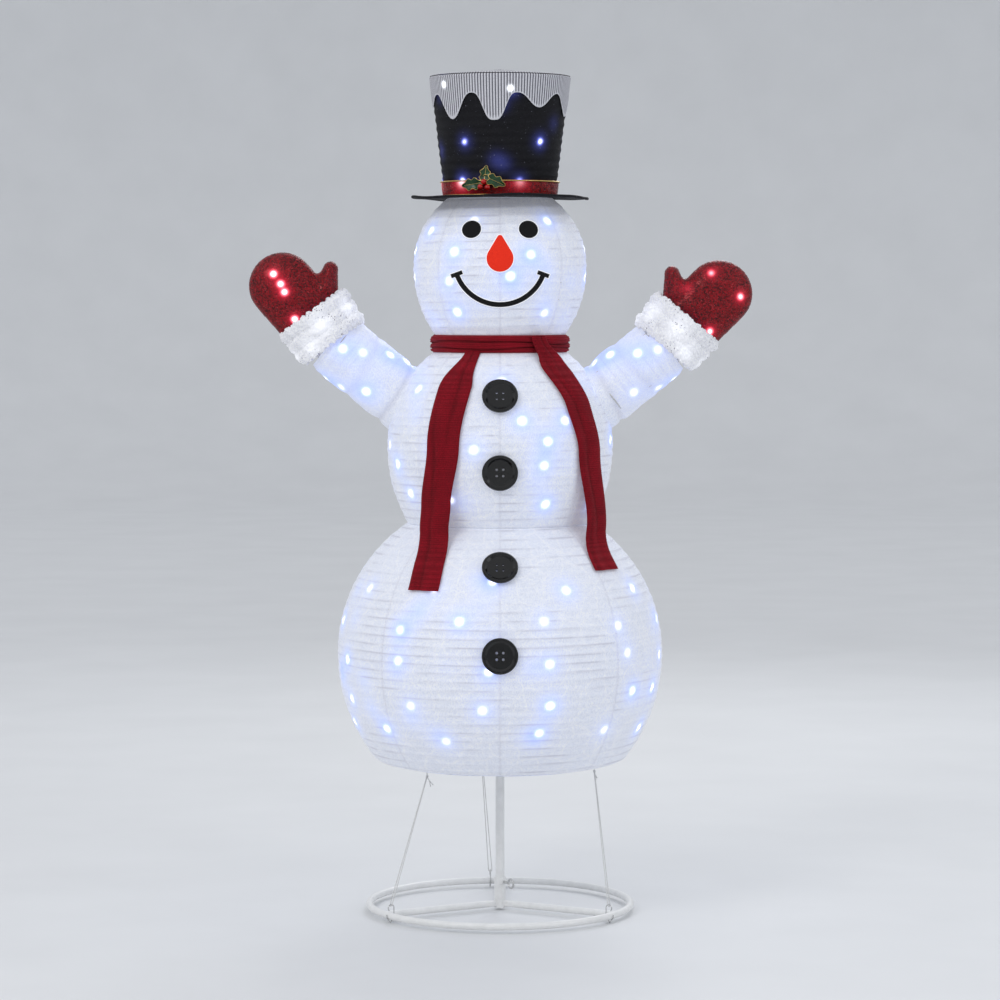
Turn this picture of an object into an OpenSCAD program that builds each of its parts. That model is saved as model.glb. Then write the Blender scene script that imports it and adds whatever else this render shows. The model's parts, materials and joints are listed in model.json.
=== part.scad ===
// Lit fabric snowman that collapses onto its base, on a telescoping pole and a ring stand.
// The origin is on the floor under the pole, +Z is up, and the face looks along -Y.

/* [Figure heights] */
// Height of the figure's flat base above the floor
base_z = 270; // [240:5:400]
// Height of the lower ball
lower_h = 435; // [390:5:525]
// Height of the lower ball's widest level above the base
lower_mid = 200; // [160:5:260]
// Height of the middle ball
middle_h = 319; // [285:5:385]
// Height of the middle ball's widest level above the waist
middle_mid = 140; // [110:5:170]
// Height of the head
head_h = 264; // [230:4:320]
// Height of the head's widest level above the neck
head_mid = 141; // [110:1:160]
// Height of the hat's crown
crown_h = 216; // [170:4:262]
// Rise of the hat's top from its rim to its peak
peak_h = 12; // [8:1:20]

/* [Figure radii] */
// Radius of the flat base
base_r = 185; // [150:5:210]
// Radius where the lower ball's side turns under
turn_r = 228; // [215:1:250]
// Height of that turn above the base
turn_h = 12; // [8:1:20]
// Largest radius of the lower ball
lower_r = 294; // [260:2:354]
// Radius of the waist
waist_r = 167; // [140:1:190]
// Largest radius of the middle ball
middle_r = 204; // [196:1:246]
// Radius of the neck
neck_r = 102; // [85:1:115]
// Largest radius of the head
head_r = 156.5; // [140:0.5:188]
// Radius of the head's top under the brim
head_top_r = 94; // [80:1:110]
// Radius of the crown where it meets the brim
crown_base_r = 100; // [97:1:120]
// Radius of the crown's flat top
crown_top_r = 126; // [110:1:151]
// Radius of the brim
brim_r = 160; // [140:1:192]

/* [Fabric] */
// Thickness of the fabric covers
fabric_t = 1; // [0.6:0.1:1.5]
// Gap between covers where two balls meet
seam_gap = 0.6; // [0.4:0.1:1.5]
// Thickness of the brim
brim_t = 3; // [2:0.5:5]
// Height of the hat band
band_h = 27; // [20:1:40]
// Thickness of the hat band
band_t = 2; // [1:0.5:4]

/* [Wire frame] */
// Wire of the coil springs inside the covers
coil_wire_d = 1.6; // [1.2:0.1:2.4]
// Rise of a coil spring in one turn
coil_pitch = 15; // [12:0.5:40]
// Wire of the flat hoops
hoop_wire_d = 3; // [2:0.5:4]
// Cross wires in each hoop
hoop_spokes = 4; // [3:1:6]
// Opening of the eye at a hoop's centre that slides on the pole
hoop_eye_d = 25; // [23:1:32]

/* [Pole] */
// Outer diameter of the lower section
lower_pole_d = 16; // [15:0.5:19]
// Outer diameter of the middle section
middle_pole_d = 13.5; // [11:0.5:13.5]
// Outer diameter of the upper section
upper_pole_d = 10.5; // [7:0.5:10.5]
// Wall of each section
pole_wall = 1; // [0.8:0.1:1.2]
// Length of tube that stays inside the next section
pole_overlap = 60; // [40:5:90]
// Height of the lower section's top above the waist
lower_pole_up = -5; // [-30:1:0]
// Height of the middle section's top above the neck
middle_pole_up = 106; // [60:2:140]
// Height of the friction collars
collar_h = 24; // [16:1:30]

/* [Ring stand] */
// Radius of the ground ring to its tube's centre
ring_r = 236.5; // [200:0.5:284]
// Diameter of the ring's and the spokes' tube
tube_d = 12.7; // [10:0.1:16]
// Wall of that tube
tube_wall = 1.2; // [0.8:0.1:2]
// Room under the ring's tube, taken by the hooks
ring_lift = 6; // [5:0.5:12]
// Outer diameter of the pole socket
socket_d = 20.5; // [20:0.5:26]
// Height of the pole socket
socket_h = 56; // [50:1:80]
// Thickness of the socket's closed bottom
socket_floor = 2; // [1:0.5:4]
// Diameter of the thumb screw's shank
screw_d = 5; // [4:0.5:6]
// Outer diameter of the thumb screw's ring
screw_eye_d = 20; // [16:1:26]
// Wire of the ring hooks
hook_wire_d = 2.3; // [1.8:0.1:3]
// Diameter of the elastic ties
elastic_d = 1.6; // [1.2:0.1:2]

/* [Face and buttons] */
// Thickness of the felt eyes, nose and mouth
felt_t = 1.5; // [1:0.5:3]
// Radius of an eye
eye_r = 16; // [12:1:22]
// Distance between the eyes' centres
eye_span = 100; // [80:2:120]
// Height of the eyes above the head's widest level
eye_up = 64; // [50:1:75]
// Radius of the nose's round end
nose_r = 23.5; // [18:0.5:30]
// Radius of the nose's upper end
nose_tip_r = 5; // [3:1:8]
// Distance between the nose's two round ends
nose_l = 36; // [30:1:45]
// Height of the nose's round end above the head's widest level
nose_up = 13; // [0:1:24]
// Radius of the smile to the middle of its stroke
smile_r = 81; // [70:1:90]
// Half of the angle that the smile sweeps
smile_angle = 70; // [50:1:80]
// Width of the smile's stroke
smile_w = 8.8; // [6:0.2:12]
// Length of the bars that end the smile
smile_bar = 20; // [14:1:26]
// Diameter of the buttons
button_d = 63; // [50:1:64]
// Thickness of the buttons
button_t = 8; // [6:0.5:12]

/* [Scarf] */
// Thickness of the scarf's knit
scarf_t = 3; // [2:0.5:5]
// Width of a hanging end
tail_w = 64; // [50:1:76]
// Length of the wrap along the neck below the neck's narrowest level
wrap_down = 13; // [10:1:14]
// Length of the wrap along the neck above that level
wrap_up = 19; // [14:1:19]
// Thickness of the wrap at its upper and lower edge
wrap_t = 6; // [4:0.5:12]
// Drop of the left end from the neck
left_tail_l = 424; // [350:2:508]
// Drop of the right end from the neck
right_tail_l = 393; // [330:1:471]

/* [Arms] */
// Depth of the arm's hinge inside the middle ball
shoulder_in = 15.5; // [13:0.5:20]
// Height of the arm's hinge above the middle ball's widest level
shoulder_up = 81; // [70:1:92]
// Rise of the left sleeve from level
left_rise = 39; // [25:1:50]
// Rise of the right sleeve from level
right_rise = 38; // [25:1:50]
// Length of the left sleeve from the hinge
left_sleeve_l = 160; // [132:1:192]
// Length of the right sleeve from the hinge
right_sleeve_l = 152; // [126:1:183]
// Further rise of the left cuff and mitten at the wrist
left_wrist = 15; // [0:1:18]
// Further rise of the right cuff and mitten at the wrist
right_wrist = 12; // [0:1:18]
// Radius of the sleeves
sleeve_r = 60; // [50:1:72]
// Length of the fur cuff
cuff_l = 70; // [58:1:84]
// Growth of the cuff's radius from the sleeve to the mitten
cuff_flare = 5; // [0:1:12]
// Thickness of the cuff
cuff_t = 7; // [5:1:9]
// Radius of the mitten's round end
mitten_r = 61; // [51:1:70]
// Length of the mitten from the cuff to its tip
mitten_l = 128; // [106:1:154]
// Thickness of the mitten
mitten_t = 60; // [40:2:80]
// Radius of the thumb's tip
thumb_r = 14; // [11:1:18]

/* [Lights] */
// Diameter of a bulb
bulb_d = 5; // [4:0.5:6]
// Length of a bulb's holder
bulb_l = 9; // [7:0.5:12]
// Height between rows of bulbs in the lower ball
row_gap = 66; // [55:1:80]
// Distance between bulbs along a row
bulb_gap = 140; // [110:1:180]
// Least distance of a row from either end of the lower ball
row_margin = 62; // [50:1:80]

/* [Hidden] */
$fn = 72;

// Levels of the figure
waist_z = base_z + lower_h;
neck_z = waist_z + middle_h;
brim_z = neck_z + head_h;
crown_z = brim_z + crown_h;
peak_z = crown_z + peak_h;

// Each ball: low level and radius, widest level and radius, top level and radius
LOWER = [base_z + turn_h, turn_r, base_z + lower_mid, lower_r, waist_z - seam_gap / 2, waist_r];
MIDDLE = [waist_z + seam_gap / 2, waist_r, waist_z + middle_mid, middle_r,
    neck_z - seam_gap / 2, neck_r];
HEAD = [neck_z + seam_gap / 2, neck_r, neck_z + head_mid, head_r, brim_z - seam_gap, head_top_r];

// Clearances
slide_gap = 0.25;    // radial, between parts of the telescoping pole
near_gap = 0.6;      // between soft pieces and what they lie against
lay_gap = 1.5;       // between the scarf's ends and the curved covers
side_steps = 20;     // straight steps along a ball's side
coil_steps = 16;     // straight steps in one turn of a coil spring

// Distance of a coil spring's centre, bulb tips and light string inside a cover's outer face
coil_in = fabric_t + near_gap + coil_wire_d / 2;
tip_in = fabric_t + coil_wire_d + 5;
string_in = tip_in + bulb_l + bulb_d / 2;
string_r = 1;

// Places of the flat hoops
edge_in = 5;         // wire inside the edge of the base, the crown and the sleeves
seam_in = 4;         // wire inside the seam where two balls meet
hat_hoop_z = crown_z - 3;

// Places on the stand
tube_r = tube_d / 2;
ring_z = ring_lift + tube_r;
socket_z = 4.35;
screw_z = socket_z + socket_h - 8;
screw_angle = -57;
SPOKE_ANGLES = [-150, -30, 90];
HOOK_ANGLES = [-145.5, -34.5, 94.5];
TIE_ANGLES = [-136, -20, 101];
hoop_r_base = base_r - edge_in;
hook_loop_r = 6;
hook_side = tube_r + hook_wire_d / 2 + 0.2;
hook_loop_h = tube_r + hook_loop_r + 2.2;
tie_bend = 2 * elastic_d;
tie_knot_drop = 9;   // knot below the base
TAILS = [[9, -16], [15, -13]];   // each loose end's reach from the knot, along and up

// Places in the scarf's groove
wrap_low = neck_z - wrap_down;
wrap_high = neck_z + wrap_up;
wrap_r = max(ball_r(MIDDLE, wrap_low), ball_r(HEAD, wrap_high)) + wrap_t;

// Places on the hat
snow_t = 1;
snow_low = 84;       // reach of the longest drip below the crown's top
snow_band = 38;      // depth of the snow above the hollows between drips
skirt_gap = near_gap + snow_t;
band_trim_r = 1.5;
DRIPS = [0, 23, 10, 4, 18, 8, 14, 27, 3];   // how much shorter each drip is

// Places in the arms; each list has the left arm's value, then the right arm's
LEFT = 0;
RIGHT = 1;
RISE = [left_rise, right_rise];
WRIST = [left_wrist, right_wrist];
SLEEVE_L = [left_sleeve_l, right_sleeve_l];
shoulder_z = waist_z + middle_mid + shoulder_up;
shoulder_r = ball_r(MIDDLE, shoulder_z) - shoulder_in;
arm_wire_r = 1.25;
arm_hoop_s = 26;     // first hoop, from the hinge
arm_hoop_end = 8;    // distance of a sleeve's or cuff's last hoop from its end
cuff_wire_in = 10;   // length of the cuff's wires inside the sleeve
cuff_gap = 2;        // between the sleeve and the cuff around it
cuff_base_r = sleeve_r + cuff_gap + cuff_t;
cuff_end_r = cuff_base_r + cuff_flare;
arm_hole_r = sleeve_r - 20;   // opening in the cover behind each sleeve
eye_bore_r = hoop_wire_d / 2 + 0.4;
link_z = shoulder_z + (ball_r(MIDDLE, shoulder_z + 8, coil_in) - shoulder_r) * tan(left_rise);

// How far up each ball the middle of a button is, from the ball's widest level
BUTTONS = [[MIDDLE, 91], [MIDDLE, -40], [LOWER, 169], [LOWER, 23]];

// Levels of the rows of bulbs in the middle ball and the head, from the ball's widest level
MIDDLE_ROWS = [-90, -40, 10, 52, shoulder_up + 30];
HEAD_ROWS = [-84, -30, 24, 76];

// ---------- Curves shared by the covers and what fits to them ----------

// Half height of the ellipse of largest radius r_max that narrows to r_end at a distance h
function half_height(r_max, r_end, h) = h / sqrt(1 - pow(r_end / r_max, 2));
function ball_half(ball, z) = z < ball[2]
    ? half_height(ball[3], ball[1], ball[2] - ball[0])
    : half_height(ball[3], ball[5], ball[4] - ball[2]);

// Radius of a ball at level z, with its surface moved inwards by inset
function ball_r(ball, z, inset = 0) =
    (ball[3] - inset) * sqrt(1 - pow((z - ball[2]) / (ball_half(ball, z) - inset), 2));

// Angle above level that a ball's surface faces at level z
function ball_tilt(ball, z) =
    atan2((z - ball[2]) / pow(ball_half(ball, z), 2), ball_r(ball, z) / pow(ball[3], 2));

// The side of a ball from its low end to its top, as [radius, level]
function ball_side(ball, inset = 0) =
    let (down = ball_half(ball, ball[0]), up = ball_half(ball, ball[4]),
        first = -asin((ball[2] - ball[0]) / down), last = asin((ball[4] - ball[2]) / up))
    [for (i = [0 : side_steps])
        let (a = first + (last - first) * i / side_steps, half = a < 0 ? down : up)
        [(ball[3] - inset) * cos(a), ball[2] + (half - inset) * sin(a)]];

function crown_r(z) = crown_base_r + (crown_top_r - crown_base_r) * (z - brim_z) / crown_h;
function reversed(list) = [for (i = [len(list) - 1 : -1 : 0]) list[i]];
function unit(v) = v / norm(v);

// ---------- Shapes shared by several pieces ----------

// Round bar from one point to another
module rod(from, to, r) {
    run = to - from;
    translate(from)
        rotate([0, acos(run[2] / norm(run)), atan2(run[1], run[0])])
            cylinder(r = r, h = norm(run), $fn = 24);
}

// Wire along points, none of whose runs is parallel to the direction across
module wire(points, r, across, sides = 6) {
    n = len(points);
    rings = [for (i = [0 : n - 1])
        let (t = unit(points[min(i + 1, n - 1)] - points[max(i - 1, 0)]),
            side = unit(cross(t, across)), up = cross(side, t))
        for (k = [0 : sides - 1])
            points[i] + r * (cos(360 * k / sides) * side + sin(360 * k / sides) * up)];
    walls = [for (i = [0 : n - 2], k = [0 : sides - 1])
        let (a = i * sides + k, b = i * sides + (k + 1) % sides)
        [a, b, b + sides, a + sides]];
    ends = [[for (k = [sides - 1 : -1 : 0]) k], [for (k = [0 : sides - 1]) (n - 1) * sides + k]];
    polyhedron(rings, concat(walls, ends), convexity = 10);
}

// Ring of round wire about the Z axis
module wire_ring(r, wire_d) {
    rotate_extrude()
        translate([r, 0])
            circle(d = wire_d, $fn = 24);
}

// Skin between two insets of a ball's surface
module ball_skin(ball, outer, inner) {
    rotate_extrude()
        polygon(concat(ball_side(ball, outer), reversed(ball_side(ball, inner))));
}

// Solid ball, grown by grow
module ball_solid(ball, grow) {
    rotate_extrude()
        polygon(concat([[0, ball[0] - grow]], ball_side(ball, -grow), [[0, ball[4] + grow]]));
}

// ---------- Ring stand ----------

module ground_ring() {
    color("white")
        translate([0, 0, ring_z])
            rotate_extrude()
                translate([ring_r, 0])
                    difference() {
                        circle(r = tube_r, $fn = 32);
                        circle(r = tube_r - tube_wall, $fn = 32);
                    }
}

// Tube from the socket to the ring, pressed into an upright oval where it is welded on
module spoke(angle) {
    oval_w = tube_d * 0.55;
    oval_h = tube_d * 1.3;
    oval_l = 12;
    round_from = socket_d / 2 + 28;
    color("white")
        translate([0, 0, ring_z])
            rotate([0, 0, angle])
                difference() {
                    union() {
                        hull() {
                            translate([0, -oval_w / 2, -oval_h / 2 + oval_w / 2])
                                cube([socket_d / 2 + oval_l, oval_w, oval_h - oval_w]);
                            translate([round_from, 0, 0])
                                rotate([0, 90, 0])
                                    cylinder(r = tube_r, h = 1, $fn = 24);
                        }
                        translate([round_from, 0, 0])
                            rotate([0, 90, 0])
                                cylinder(r = tube_r, h = ring_r - round_from);
                    }
                    translate([0, 0, -tube_d])
                        cylinder(d = socket_d, h = 2 * tube_d);
                    translate([round_from + 2, 0, 0])
                        rotate([0, 90, 0])
                            cylinder(r = tube_r - tube_wall, h = ring_r);
                    rotate_extrude()
                        translate([ring_r, 0])
                            circle(r = tube_r, $fn = 32);
                    translate([ring_r, -tube_d, -tube_d])
                        cube(2 * tube_d);
                }
}

module pole_socket() {
    color("white")
        difference() {
            union() {
                translate([0, 0, socket_z])
                    cylinder(d = socket_d, h = socket_h);
                translate([0, 0, screw_z])
                    rotate([0, 0, screw_angle])
                        rotate([0, 90, 0])
                            cylinder(d = screw_d + 6, h = socket_d / 2 + 4, $fn = 6);
            }
            translate([0, 0, socket_z + socket_floor])
                cylinder(d = lower_pole_d + 2 * slide_gap, h = socket_h);
            translate([0, 0, screw_z])
                rotate([0, 0, screw_angle])
                    rotate([0, 90, 0])
                        cylinder(d = screw_d + 2 * slide_gap, h = socket_d);
        }
}

// Clamping screw whose head is a wire ring
module thumb_screw() {
    tip = lower_pole_d / 2 + 0.3;
    eye_wire = 4;
    eye_at = socket_d / 2 + 16 + screw_eye_d / 2;
    color("silver")
        translate([0, 0, screw_z])
            rotate([0, 0, screw_angle]) {
                rotate([0, 90, 0])
                    translate([0, 0, tip])
                        cylinder(d = screw_d, h = eye_at - screw_eye_d / 2 + eye_wire / 2 - tip);
                translate([eye_at, 0, 0])
                    rotate([90, 0, 0])
                        wire_ring((screw_eye_d - eye_wire) / 2, eye_wire);
            }
}

// Wire bent into an open loop above the ring's tube and a closed V under it
module ring_hook(angle) {
    loop_u = hook_loop_r - hook_side;
    leg_w = -2;
    path = concat(
        [for (a = [-50 : 23 : 180])
            [loop_u + hook_loop_r * cos(a), hook_loop_h + hook_loop_r * sin(a)]],
        [[-hook_side, leg_w], [0, hook_wire_d / 2 - ring_z], [hook_side, leg_w], [hook_side, 3]]);
    color("silver")
        rotate([0, 0, angle])
            wire([for (p = path) [ring_r + p[0], 0, ring_z + p[1]]], hook_wire_d / 2, [0, 1, 0]);
}

// Place of a tie's knot under the base hoop
function tie_knot(i) = [hoop_r_base * cos(TIE_ANGLES[i]), hoop_r_base * sin(TIE_ANGLES[i]),
    base_z - tie_knot_drop];

// Elastic from its knot down round the top of the hook's loop and back up, tied in a knot
module elastic(i) {
    across = [-sin(HOOK_ANGLES[i]), cos(HOOK_ANGLES[i]), 0];
    loop_r = ring_r + hook_loop_r - hook_side;
    loop_top = [loop_r * cos(HOOK_ANGLES[i]), loop_r * sin(HOOK_ANGLES[i]),
        ring_z + hook_loop_h + hook_loop_r];
    knot = tie_knot(i);
    up = unit(knot - loop_top);
    path = concat([knot + elastic_d / 2 * across],
        [for (a = [0 : 22.5 : 180]) loop_top + tie_bend * (cos(a) * across - sin(a) * up)],
        [knot - elastic_d / 2 * across]);
    color("white") {
        wire(path, elastic_d / 2, cross(across, up), 8);
        translate(knot)
            sphere(r = elastic_d * 1.6, $fn = 24);
        rod(knot, [knot[0], knot[1], base_z - 1.5], elastic_d / 2);
        for (tail = TAILS)
            rod(knot, knot + [-tail[0] * sin(TIE_ANGLES[i]), tail[0] * cos(TIE_ANGLES[i]), tail[1]],
                elastic_d / 2);
    }
}

// ---------- Telescoping pole ----------

lower_pole_z = socket_z + socket_floor;
lower_pole_top = waist_z + lower_pole_up;
middle_pole_top = neck_z + middle_pole_up;
collar_stop = 2;     // collar above the tube's end
cap_seat = 4;        // upper section inside the cap, above the crown's top

module tube(z_low, z_high, d, wall) {
    translate([0, 0, z_low])
        difference() {
            cylinder(d = d, h = z_high - z_low);
            translate([0, 0, -1])
                cylinder(d = d - 2 * wall, h = z_high - z_low + 2);
        }
}

// Plastic collar on a tube's end that grips the thinner tube inside it
module collar(z_end, outer_d, inner_d) {
    translate([0, 0, z_end])
        rotate_extrude()
            polygon([
                [outer_d / 2, collar_stop - collar_h], [outer_d / 2 + 2, collar_stop - collar_h],
                [outer_d / 2 + 2, collar_stop - 2], [outer_d / 2, collar_stop],
                [inner_d / 2 + slide_gap, collar_stop], [inner_d / 2 + slide_gap, 0],
                [outer_d / 2, 0]
            ]);
}

module lower_pole() {
    color("white")
        tube(lower_pole_z, lower_pole_top, lower_pole_d, pole_wall);
}

module lower_collar() {
    color("dimgray")
        collar(lower_pole_top, lower_pole_d, middle_pole_d);
}

module middle_pole() {
    color("white")
        tube(lower_pole_top - pole_overlap, middle_pole_top, middle_pole_d, pole_wall);
}

module upper_collar() {
    color("dimgray")
        collar(middle_pole_top, middle_pole_d, upper_pole_d);
}

module upper_pole() {
    color("white")
        tube(middle_pole_top - pole_overlap, crown_z + cap_seat, upper_pole_d, pole_wall);
}

// Round cap that the hat's top rests on, seated on the hub of the hat's hoop
module pole_cap() {
    cap_r = upper_pole_d / 2 + 4;
    cap_low = hat_hoop_z + hoop_wire_d / 2;
    dome_h = 5;
    dome_r = (cap_r * cap_r + dome_h * dome_h) / (2 * dome_h);
    color("dimgray")
        difference() {
            intersection() {
                translate([0, 0, cap_low])
                    cylinder(r = cap_r, h = peak_z - cap_low);
                translate([0, 0, peak_z - dome_r])
                    sphere(r = dome_r, $fn = 48);
            }
            translate([0, 0, crown_z - cap_seat])
                cylinder(d = upper_pole_d, h = 2 * cap_seat);
        }
}

// ---------- Hoops and coil springs ----------

// Flat wire hoop with cross wires and an eye around the pole
module hoop(r, z) {
    eye_ring_r = (hoop_eye_d + hoop_wire_d) / 2;
    color("gainsboro")
        translate([0, 0, z]) {
            wire_ring(r, hoop_wire_d);
            wire_ring(eye_ring_r, hoop_wire_d);
            for (i = [0 : hoop_spokes - 1])
                rotate([0, 0, 45 + i * 360 / hoop_spokes])
                    rod([eye_ring_r, 0, 0], [r, 0, 0], hoop_wire_d / 2 - 0.25);
        }
}

// Hoop whose cross wires end in a hub fixed on the pole
module fixed_hoop(r, z, pole_d) {
    hub_r = pole_d / 2 + 4;
    hub_down = 6;
    color("gainsboro")
        translate([0, 0, z])
            difference() {
                union() {
                    wire_ring(r, hoop_wire_d);
                    translate([0, 0, -hub_down])
                        cylinder(r = hub_r, h = hub_down + hoop_wire_d / 2);
                    for (i = [0 : hoop_spokes - 1])
                        rotate([0, 0, 45 + i * 360 / hoop_spokes])
                            rod([hub_r - 1, 0, 0], [r, 0, 0], hoop_wire_d / 2 - 0.25);
                }
                cylinder(d = pole_d, h = 3 * hub_down, center = true);
            }
}

module bottom_hoop() {
    fixed_hoop(hoop_r_base, base_z + hoop_wire_d / 2 + 1, lower_pole_d);
}

module hat_top_hoop() {
    fixed_hoop(crown_top_r - edge_in, hat_hoop_z, upper_pole_d);
}

// Coil spring that follows a ball's inside; turns_to is a level that falls midway between turns
module ball_coil(ball, turns_to) {
    margin = 7;
    low = ball[0] + margin;
    start = turns_to - coil_pitch / 4
        - coil_pitch * floor((turns_to - coil_pitch / 4 - low) / coil_pitch);
    count = floor((ball[4] - margin - start) / coil_pitch * coil_steps);
    color("silver")
        wire([for (i = [0 : count])
            let (z = start + i * coil_pitch / coil_steps, r = ball_r(ball, z, coil_in),
                a = i * 360 / coil_steps)
            [r * cos(a), r * sin(a), z]], coil_wire_d / 2, [0, 0, 1], 4);
}

module hat_coil() {
    margin = 10;
    low = brim_z + margin;
    count = floor((crown_h - 2 * margin) / coil_pitch * coil_steps);
    color("silver")
        wire([for (i = [0 : count])
            let (z = low + i * coil_pitch / coil_steps, r = crown_r(z) - coil_in,
                a = i * 360 / coil_steps)
            [r * cos(a), r * sin(a), z]], coil_wire_d / 2, [0, 0, 1], 4);
}

// ---------- Fabric covers ----------

// The lower ball's side, then its turn under to the flat base
module lower_cover() {
    function turn(inset) =
        let (side = [LOWER[1] - 8, LOWER[0] - turn_h * 0.75])
        [for (t = [1 : -0.125 : 0.125])
            pow(1 - t, 2) * [LOWER[1] - inset, LOWER[0]] + 2 * t * (1 - t) * (side - [inset, 0])
                + t * t * [base_r, base_z + inset]];
    color("whitesmoke")
        rotate_extrude()
            polygon(concat(turn(0), ball_side(LOWER), reversed(ball_side(LOWER, fabric_t)),
                reversed(turn(fabric_t))));
}

module bottom_panel() {
    color("whitesmoke")
        translate([0, 0, base_z - fabric_t])
            difference() {
                cylinder(r = base_r, h = fabric_t);
                translate([0, 0, -1])
                    cylinder(r = lower_pole_d / 2 + 6, h = fabric_t + 2);
            }
}

// Middle ball, open behind each sleeve so that the arm's frame and leads pass through
module middle_cover() {
    color("whitesmoke")
        difference() {
            ball_skin(MIDDLE, 0, fabric_t);
            for (arm = [LEFT, RIGHT])
                in_arm(arm)
                    rotate([0, 90, 0])
                        cylinder(r = arm_hole_r, h = SLEEVE_L[arm]);
        }
}

module head_cover() {
    color("whitesmoke")
        ball_skin(HEAD, 0, fabric_t);
}

module hat_cover() {
    low = brim_z + brim_t / 2 + near_gap;
    color("#1c1c22")
        rotate_extrude()
            polygon([
                [crown_r(low), low], [crown_top_r, crown_z],
                [crown_top_r - fabric_t, crown_z], [crown_r(low) - fabric_t, low]
            ]);
}

module hat_brim() {
    color("#1c1c22")
        translate([0, 0, brim_z])
            rotate_extrude() {
                translate([head_top_r + 2, -brim_t / 2])
                    square([brim_r - head_top_r - 4, brim_t]);
                translate([brim_r - brim_t, 0])
                    circle(r = brim_t * 0.8, $fn = 24);
            }
}

module hat_band() {
    low = brim_z + brim_t / 2 + near_gap;
    top = low + band_h;
    color("#b01018")
        rotate_extrude() {
            polygon([
                [crown_r(low) + near_gap, low], [crown_r(low) + near_gap + band_t, low],
                [crown_r(top) + near_gap + band_t, top], [crown_r(top) + near_gap, top]
            ]);
            translate([crown_r(top) + near_gap + band_t, top - band_trim_r])
                circle(r = band_trim_r, $fn = 16);
        }
}

// Mesh snow: a tented top over a band that ends in drips
module hat_snow() {
    low = crown_z - snow_low;
    band_low = crown_z - snow_band;
    count = len(DRIPS);
    root_w = 2 * PI * crown_top_r / count * 0.74;
    tip_r = 9;
    color("white")
        intersection() {
            rotate_extrude()
                polygon([
                    [crown_r(low) + near_gap, low], [crown_r(low) + skirt_gap, low],
                    [crown_top_r + skirt_gap, crown_z + near_gap + snow_t],
                    [0, peak_z + near_gap + snow_t], [0, peak_z + near_gap],
                    [crown_top_r + near_gap, crown_z + near_gap]
                ]);
            union() {
                translate([0, 0, band_low])
                    cylinder(r = brim_r, h = peak_z);
                for (i = [0 : count - 1])
                    rotate([0, 0, i * 360 / count - 95])
                        rotate([90, 0, 90])
                            linear_extrude(brim_r) {
                                polygon([
                                    [-root_w / 2, band_low + 1], [-tip_r, low + DRIPS[i] + tip_r],
                                    [tip_r, low + DRIPS[i] + tip_r], [root_w / 2, band_low + 1]
                                ]);
                                translate([0, low + DRIPS[i] + tip_r])
                                    circle(r = tip_r, $fn = 32);
                            }
            }
        }
}

// Outline of a pointed leaf with hollows along both edges
module leaf(l, w) {
    edge_r = (l * l + w * w) / (4 * w);
    difference() {
        intersection() {
            translate([0, edge_r - w / 2])
                circle(r = edge_r, $fn = 64);
            translate([0, w / 2 - edge_r])
                circle(r = edge_r, $fn = 64);
        }
        for (x = [-l / 4 : l / 4 : l / 4], side = [-1, 1])
            translate([x, side * (w / 2 + l / 12)])
                circle(r = l / 8, $fn = 24);
    }
}

// Where the holly sits, clear of the band's trim
module on_band() {
    trim_r = crown_r(brim_z + brim_t + band_h) + near_gap + band_t + band_trim_r;
    rotate([0, 0, -15])
        translate([0, -trim_r - near_gap, brim_z + 23])
            rotate([90, 0, 0])
                children();
}

module holly_leaves() {
    color("darkgreen")
        on_band()
            linear_extrude(2) {
                translate([-20, -2])
                    rotate(8)
                        leaf(42, 20);
                translate([17, 4])
                    rotate(-25)
                        leaf(42, 20);
                translate([2, 14])
                    rotate(80)
                        leaf(34, 17);
            }
}

module holly_berries() {
    color("red")
        on_band()
            for (p = [[-5, -7], [7, -8], [1, 2]])
                translate([p[0], p[1], 2.2 + 5])
                    sphere(r = 5, $fn = 32);
}

// ---------- Lights ----------

// Row of bulbs that point outwards; the ring of lead wire passes through their holders
module light_row(r, tip, z) {
    count = max(5, round(2 * PI * tip / bulb_gap));
    lens_r = bulb_d * 0.4;
    translate([0, 0, z]) {
        wire_ring(r, 2 * string_r);
        for (i = [0 : count - 1])
            rotate([0, 0, (i + 0.5) * 360 / count])
                rotate([0, 90, 0]) {
                    translate([0, 0, r - bulb_d / 2])
                        cylinder(d = bulb_d, h = tip - lens_r - r + bulb_d / 2, $fn = 16);
                    translate([0, 0, tip - lens_r])
                        sphere(r = lens_r, $fn = 16);
                }
    }
}

// Rows at the given levels, joined at the back by lengths of lead wire
module ball_lights(ball, levels) {
    color("lightblue") {
        for (z = levels)
            light_row(ball_r(ball, z, string_in), ball_r(ball, z, tip_in), z);
        for (i = [0 : len(levels) - 2])
            rod([0, ball_r(ball, levels[i], string_in), levels[i]],
                [0, ball_r(ball, levels[i + 1], string_in), levels[i + 1]], string_r * 0.8);
    }
}

module lower_lights() {
    first = LOWER[0] + row_margin;
    ball_lights(LOWER, [for (z = [first : row_gap : LOWER[4] - row_margin]) z]);
}

module middle_lights() {
    ball_lights(MIDDLE, [for (up = MIDDLE_ROWS) MIDDLE[2] + up]);
}

module head_lights() {
    ball_lights(HEAD, [for (up = HEAD_ROWS) HEAD[2] + up]);
}

module hat_lights() {
    margin = 30;
    low = brim_z + margin;
    high = crown_z - margin;
    color("lightblue") {
        for (z = [low, (low + high) / 2, high])
            light_row(crown_r(z) - string_in, crown_r(z) - tip_in, z);
        rod([0, crown_r(low) - string_in, low], [0, crown_r(high) - string_in, high],
            string_r * 0.8);
    }
}

// ---------- Face and buttons ----------

// Felt cut to the outline of its children, lying on the head's front
module felt() {
    intersection() {
        ball_skin(HEAD, -near_gap - felt_t, -near_gap);
        rotate([90, 0, 0])
            linear_extrude(2 * head_r)
                children();
    }
}

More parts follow.
